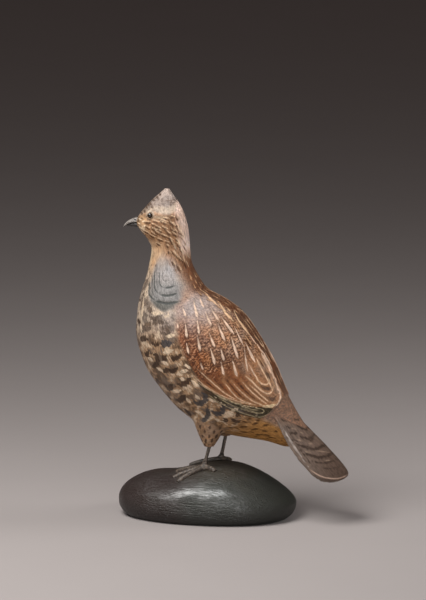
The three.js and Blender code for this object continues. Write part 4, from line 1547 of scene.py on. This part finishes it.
def bill():
    """Two bill halves that meet at the gape, with a nostril sunk in each side."""
    turns = around(48)
    shells = []
    for stations in (UPPER_BILL, LOWER_BILL):
        rings = [
            np.stack([np.full(len(turns), x), wide * np.cos(turns), z + high * np.sin(turns)], 1)
            for x, z, high, wide in spaced_through(stations, 60)
        ]
        shells.append(shell(rings))
    made = piece("bill", *joined(shells))
    points = points_of(made)
    upper = np.arange(len(points)) < len(shells[0][0])
    off_x = (points[:, 0] - NOSTRIL["x"]) / NOSTRIL["length"]
    off_z = (points[:, 2] - NOSTRIL["z"]) / NOSTRIL["height"]
    nostril = (1 - ease((np.hypot(off_x, off_z) - 0.6) / 0.6)) * upper
    points[:, 1] -= NOSTRIL["depth"] * np.sign(points[:, 1]) * nostril
    move_points(made, points)
    station_x, middle, half_height, _ = spaced_through(UPPER_BILL, 60).T
    from_middle = points[:, 2] - np.interp(-points[:, 0], -station_x, middle)
    height = from_middle / np.interp(-points[:, 0], -station_x, half_height)
    keep_number(made, "lit", np.where(upper, ease((height + 0.75) / 0.7), 0) * (1 - nostril))
    return made


def bill_paint():
    coat = Coat("bill paint")
    grain = coat.noise(coat.place(), (0.5, 3.0, 3.0), 3.0)
    lit = coat.attribute("lit")
    colour = coat.mix((0.030, 0.025, 0.023), (0.23, 0.20, 0.18), lit)
    colour = coat.mix(colour, (0.46, 0.43, 0.40), coat.rising(grain, 0.44, 0.66) * lit)
    return coat.finish({
        "Base Color": colour,
        "Roughness": 0.34 + 0.15 * grain,
        "Normal": coat.bump(grain, 0.06),
    })


def eye(side):
    """A round bead with a straight stem that stands on the socket's floor."""
    sign = math.copysign(1, LIMBS[side]["thigh"][1])
    lip = EYE["floor"] + EYE["lip"]
    profile = [(0.2, EYE["floor"]), (EYE["radius"], EYE["floor"])]
    for turn in np.linspace(0, math.pi / 2, 12)[:-1]:
        profile.append((EYE["radius"] * math.cos(turn), lip + (EYE["front"] - lip) * math.sin(turn)))
    profile.append((0.02, EYE["front"]))
    turns = around(32)
    rings = [
        np.stack([
            EYE["x"] + radius * np.cos(turns),
            np.full(len(turns), sign * out),
            EYE["z"] + radius * np.sin(turns),
        ], 1)
        for radius, out in profile
    ]
    return piece(f"{side}_eye_bead", *shell(rings))


def bead_finish():
    coat = Coat("eye bead")
    cloud = coat.noise(coat.place(), (1.5, 1.5, 1.5))
    colour = coat.mix((0.006, 0.005, 0.004), (0.030, 0.016, 0.008), cloud)
    return coat.finish({"Base Color": colour, "Roughness": 0.05 + 0.06 * cloud, "Coat Weight": 0.6})


def level_ring(x, y, half_length, half_width, sides):
    """Places round a level oval."""
    turns = around(sides)
    return x + half_length * np.cos(turns), y + half_width * np.sin(turns)


def leg(side):
    """A wire from inside the thigh down to the ankle, a little thicker where the foot begins."""
    top, ankle = (np.array(LIMBS[side][key]) for key in ("thigh", "ankle"))
    rings = []
    for share in np.linspace(-0.15, 1, 24):
        x, y, z = top + (ankle - top) * share
        radius = LEG_RADIUS * (1 + 0.18 * ease((share - 0.75) / 0.25) + 0.03 * math.sin(9 * share))
        at_x, at_y = level_ring(x, y, radius, radius, 24)
        rings.append(np.stack([at_x, at_y, np.full(24, z)], 1))
    return piece(f"{side}_wire_leg", *shell(rings))


def toe_work():
    """Geometry Nodes: toes along curves, with pads under them."""
    tree = bpy.data.node_groups.new("toes", "GeometryNodeTree")
    work = NodeWork(tree)
    face = tree.interface
    face.new_socket("Toes", in_out="INPUT", socket_type="NodeSocketGeometry")
    sizes = {"Toe radius": TOE_RADIUS, "Tip radius": TOE_TIP_RADIUS, "Pad size": PAD_RADIUS}
    for name, value in sizes.items():
        face.new_socket(name, in_out="INPUT", socket_type="NodeSocketFloat").default_value = value * MM
    face.new_socket("Paint", in_out="INPUT", socket_type="NodeSocketMaterial")
    face.new_socket("Seed", in_out="INPUT", socket_type="NodeSocketInt").default_value = 4
    face.new_socket("Foot", in_out="OUTPUT", socket_type="NodeSocketGeometry")
    given = work.node("NodeGroupInput")
    share = work.node("GeometryNodeSplineParameter", out="Factor")
    radius = given.out("Toe radius") * (1 - share) + given.out("Tip radius") * share
    knuckles = work.maths("SINE", share * TOE_SHAPE["knuckles"]) * TOE_SHAPE["swell"] + 1
    rounded = 1 - work.maths("POWER", share, TOE_SHAPE["blunt"]) * TOE_SHAPE["taper"]
    width = radius * knuckles * rounded / MM
    path = work.node("GeometryNodeSetCurveRadius", {}, {"Curve": given.out("Toes"), "Radius": width})
    section = {"Resolution": TOE_SHAPE["sides"], "Radius": MM}
    ring = work.node("GeometryNodeCurvePrimitiveCircle", {}, section)
    sweep = {"Curve": path, "Profile Curve": ring, "Fill Caps": True}
    tube = work.node("GeometryNodeCurveToMesh", {}, sweep)
    spacing = {"Curve": path, "Count": TOE_SHAPE["pads"]}
    spots = work.node("GeometryNodeCurveToPoints", {"mode": "COUNT"}, spacing, out="Points")
    ball = {"Radius": given.out("Pad size"), "Subdivisions": 3}
    pad = work.node("GeometryNodeMeshIcoSphere", {}, ball, out="Mesh")
    between_scales = {2: 0.75, 3: 1.05, "Seed": given.out("Seed")}
    vary = work.node("FunctionNodeRandomValue", {"data_type": "FLOAT"}, between_scales, out=1)
    pads = work.node("GeometryNodeInstanceOnPoints", {}, {"Points": spots, "Instance": pad, "Scale": vary})
    whole = work.node("GeometryNodeJoinGeometry")
    for part in (tube, pads):
        tree.links.new(part.socket, whole.socket.node.inputs[0])
    solid = work.node("GeometryNodeRealizeInstances", {}, {0: whole})
    painted = work.node("GeometryNodeSetMaterial", {}, {"Geometry": solid, "Material": given.out("Paint")})
    work.node("NodeGroupOutput", {}, {0: painted})
    return tree


def run_tree(made, tree, inputs):
    """Runs a Geometry Nodes tree on an object with named inputs, and keeps its result as plain mesh."""
    modifier = made.modifiers.new("work", "NODES")
    modifier.node_group = tree
    for item in tree.interface.items_tree:
        if item.in_out == "INPUT" and item.name in inputs:
            modifier[item.identifier] = inputs[item.name]
    mesh = evaluated_mesh(made)
    name = made.name
    bpy.data.objects.remove(made)
    return placed(name, mesh)


def toe_lines(side):
    """The middle lines of a foot's toes, from the ankle out over the rock."""
    ankle = np.array(LIMBS[side]["ankle"])
    lines = bpy.data.curves.new(f"{side}_toes", "CURVE")
    lines.dimensions = "3D"
    share = np.linspace(0, 1, 14)
    radius = TOE_RADIUS + (TOE_TIP_RADIUS - TOE_RADIUS) * share
    for tip in LIMBS[side]["tips"]:
        plan = ankle[:2] + (np.array(tip) - ankle[:2]) * share[:, None]
        height = rock_top(plan[:, 0], plan[:, 1]) + TOE_LIFT + radius * 1.1 - TOE_DIP * share**4
        spline = lines.splines.new("POLY")
        spline.points.add(len(share) - 1)
        for point, at, z in zip(spline.points, plan, height):
            point.co = (at[0] * MM, at[1] * MM, z * MM, 1)
    return placed(f"{side}_toes", lines)


def palm_shell(side):
    """A wedge from the ankle down to a palm that lies on the rock."""
    x, y, z = LIMBS[side]["ankle"]
    sides = 28
    rings = []
    for forward, below, half_length, half_width in WEDGE:
        at_x, at_y = level_ring(x - forward, y, half_length, half_width, sides)
        rings.append(np.stack([at_x, at_y, np.full(sides, z - below)], 1))
    for size, lift in ((0.9, PALM["height"]), (1.0, PALM["edge"])):
        half_length, half_width = PALM["length"] * size, PALM["width"] * size
        at_x, at_y = level_ring(x - PALM["forward"], y, half_length, half_width, sides)
        rings.append(np.stack([at_x, at_y, rock_top(at_x, at_y) + TOE_LIFT + lift], 1))
    return shell(rings)


def foot(side, tree, paint):
    """Toes and palm fused into one cast foot."""
    toes = run_tree(toe_lines(side), tree, {"Paint": paint})
    made = piece(f"{side}_foot_cast", *joined([(points_of(toes), faces_of(toes)), palm_shell(side)]))
    bpy.data.objects.remove(toes)
    fuse(made, FOOT_GRID)
    move_points(made, softened(made, points_of(made), 4))
    return made


def limb_paint():
    """Worn dark paint, with painted shadow darkening the foot on the right side, which gets less light."""
    coat = Coat("leg and foot paint")
    place = coat.place()
    grain = coat.noise(place, (1.4, 1.4, 1.4), 4.0)
    fine = coat.noise(place, (5.0, 5.0, 5.0))
    colour = coat.mix((0.042, 0.030, 0.023), (0.17, 0.13, 0.10), coat.rising(grain, 0.38, 0.70))
    axes = coat.node("ShaderNodeSeparateXYZ", {}, {0: place})
    # Painted shadow: the right foot, below its ankle, darkened as if in the bird's shadow.
    far_foot_shadow = coat.rising(axes.out("Y"), 2, 6) * (1 - coat.rising(axes.out("Z"), 20.5, 22.5))
    return coat.finish({
        "Base Color": coat.shaded(colour, 1 - 0.45 * far_foot_shadow),
        "Roughness": 0.45 + 0.2 * fine,
        "Normal": coat.bump(grain + fine * 0.5, 0.10),
    })


# The rock's mesh and paint


def rock():
    """The rock's top from its middle out, then its edge rounding in to a flat underside."""
    turns = around(ROCK_MESH["sides"])
    outline = 1 / rock_share(np.cos(turns), np.sin(turns))
    rings = []
    for step in range(1, ROCK_MESH["top"] + 1):
        reach = outline * math.sin(math.pi / 2 * step / ROCK_MESH["top"])
        x, y = reach * np.cos(turns), reach * np.sin(turns)
        rings.append(np.stack([x, y, rock_top(x, y)], 1))
    for step in range(1, ROCK_MESH["edge"] + 1):
        turn = math.pi / 2 * step / ROCK_MESH["edge"]
        reach = outline * (ROCK["contact"] + (1 - ROCK["contact"]) * math.cos(turn))
        z = np.full(len(turns), ROCK["girth"] * (1 - math.sin(turn)))
        rings.append(np.stack([reach * np.cos(turns), reach * np.sin(turns), z], 1))
    return piece("painted_rock", *shell(rings))


def rock_paint():
    """Near-black satin paint, greener toward the tail, with painted shade toward the bottom, a painted
    brown reflection on the top, and a streaky lacquer on the left side.
    """
    coat = Coat("satin rock paint")
    place = coat.place()
    cloud = coat.noise(place, (0.05, 0.05, 0.08), 3.0)
    grain = coat.noise(place, (0.14, 1.6, 1.6), 4.0, 0.6)
    scratch = coat.noise(place, (0.4, 3.6, 3.6))
    along = coat.node("ShaderNodeSeparateXYZ", {}, {0: place})
    across = along.out("Y")
    height = along.out("Z")
    green = coat.rising(cloud * 40 + along, 2, 26)
    colour = coat.mix((0.030, 0.018, 0.015), (0.033, 0.035, 0.028), green)
    # A painted brown reflection on the top near the feet.
    colour = coat.mix(colour, (0.050, 0.033, 0.017), 0.45 * coat.rising(height, 14.5, 19))
    # Streaked by the grain, and darkened toward the bottom with painted shade round the underside.
    colour = coat.shaded(colour, (0.6 + 0.8 * grain) * (0.45 + 0.55 * coat.rising(height, 1, 9)))
    streaky = coat.noise(place, (0.10, 0.30, 0.30))
    lacquer = coat.rising(height, 2, 8) * (0.35 + 0.65 * coat.rising(along, -24, -10))
    lacquer = lacquer * (1 - 0.8 * coat.rising(along, 15, 27)) * (1 - 0.9 * coat.rising(across, -8, 3))
    lacquer = lacquer * (0.25 + 1.4 * coat.rising(streaky, 0.34, 0.62))
    return coat.finish({
        "Base Color": colour,
        "Roughness": 0.27 + 0.26 * grain,
        "Specular IOR Level": 0.45,
        "Coat Weight": lacquer * (0.22 + 1.1 * coat.rising(0.5 * grain + 0.5 * scratch, 0.42, 0.58)),
        "Coat Roughness": 0.36,
        "Normal": coat.bump(grain * 0.55 + scratch * 0.45, 0.8),
    })


# Floor, lights and camera

FLOOR_HALF = 6.0
# Lights in metres: place, aim, size, watts and colour.
LIGHTS = {
    "overhead window": ((-0.125, -0.22, 0.42), (0, 0, 0.05), (0.30, 0.30), 2.35, (1.0, 0.985, 0.96)),
    "back window": ((0.38, 0.14, 0.20), (0, 0, 0.10), (0.16, 0.26), 0.65, (1.0, 0.99, 0.98)),
    "gloss card": ((0.01, -0.23, 0.42), (0, 0, 0.05), (0.20, 0.20), 0.75, (0.97, 1.0, 1.0)),
    "front fill": ((0.28, -0.72, 0.17), (0, 0, 0.05), (0.5, 0.4), 1.5, (0.98, 0.99, 1.0)),
}
ROOM = {"colour": (1.0, 0.80, 0.75, 1), "strength": 0.05}
# The photograph's view: degrees, the size of a pixel and the distance in millimetres, the part's
# origin in pixels, and the picture's width and height in pixels.
VIEW = {"azimuth": 16.0, "elevation": 10.0, "pixel": 0.373, "origin": (207.5, 514.5), "distance": 3000.0}
PICTURE = (426, 600)


def floor_paint():
    coat = Coat("pale floor")
    tone = coat.noise(coat.place(), (0.02, 0.02, 0.02))
    colour = coat.mix((0.42, 0.38, 0.372), (0.44, 0.40, 0.39), tone)
    return coat.finish({"Base Color": colour, "Roughness": 0.8})


def soft_light(name, place, aim, size, watts, colour):
    light = bpy.data.lights.new(name, "AREA")
    light.shape = "RECTANGLE"
    light.size, light.size_y = size
    light.energy = watts
    light.color = colour
    made = placed(name, light)
    made.location = place
    made.rotation_euler = (Vector(aim) - Vector(place)).to_track_quat("-Z", "Y").to_euler()
    return made


def studio():
    """A pale floor, four soft lights and a dim warm room."""
    mesh = bpy.data.meshes.new("floor")
    corners = [(x * FLOOR_HALF, y * FLOOR_HALF, 0) for x, y in ((-1, -1), (1, -1), (1, 1), (-1, 1))]
    mesh.from_pydata(corners, [], [(0, 1, 2, 3)])
    mesh.materials.append(floor_paint())
    placed("floor", mesh)
    lights = {name: soft_light(name, *row) for name, row in LIGHTS.items()}
    lights["back window"].visible_glossy = False
    lights["gloss card"].visible_diffuse = False
    world = bpy.data.worlds.new("studio")
    world.use_nodes = True
    background = world.node_tree.nodes["Background"]
    background.inputs["Color"].default_value = ROOM["colour"]
    background.inputs["Strength"].default_value = ROOM["strength"]
    bpy.context.scene.world = world
    bpy.context.scene.view_settings.view_transform = "Standard"


def camera():
    """A long lens that frames the part as the photograph does."""
    turn, rise = math.radians(VIEW["azimuth"]), math.radians(VIEW["elevation"])
    back = Vector((math.sin(turn) * math.cos(rise), -math.cos(turn) * math.cos(rise), math.sin(rise)))
    right = Vector((math.cos(turn), math.sin(turn), 0))
    up = back.cross(right)
    across = (PICTURE[0] / 2 - VIEW["origin"][0]) * VIEW["pixel"]
    above = (VIEW["origin"][1] - PICTURE[1] / 2) * VIEW["pixel"]
    data = bpy.data.cameras.new("camera")
    data.lens = data.sensor_width * VIEW["distance"] / (PICTURE[1] * VIEW["pixel"])
    data.clip_start, data.clip_end = 0.05, 50
    made = placed("camera", data)
    made.location = (right * across + up * above + back * VIEW["distance"]) * MM
    made.rotation_mode = "QUATERNION"
    made.rotation_quaternion = back.to_track_quat("Z", "Y")
    bpy.context.scene.camera = made


def coat_piece(made, material, slot, *nodes):
    """Gives a piece its paint and its body, and hides the nodes that it replaces."""
    made.data.materials.clear()
    made.data.materials.append(material)
    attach(made, "root")
    if nodes:
        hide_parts(*nodes)


camera()
studio()
coat_piece(carved_bird(), feather_paint(), "feather_paint", "carved_bird")
coat_piece(bill(), bill_paint(), "feather_paint")
bead = bead_finish()
for side in LIMBS:
    coat_piece(eye(side), bead, "eye_bead", f"{side}_eye")
limb = limb_paint()
toes = toe_work()
for side in LIMBS:
    coat_piece(leg(side), limb, "leg_paint", f"{side}_leg")
    coat_piece(foot(side, toes, limb), limb, "foot_paint", f"{side}_foot")
coat_piece(rock(), rock_paint(), "rock_paint", "rock_base")
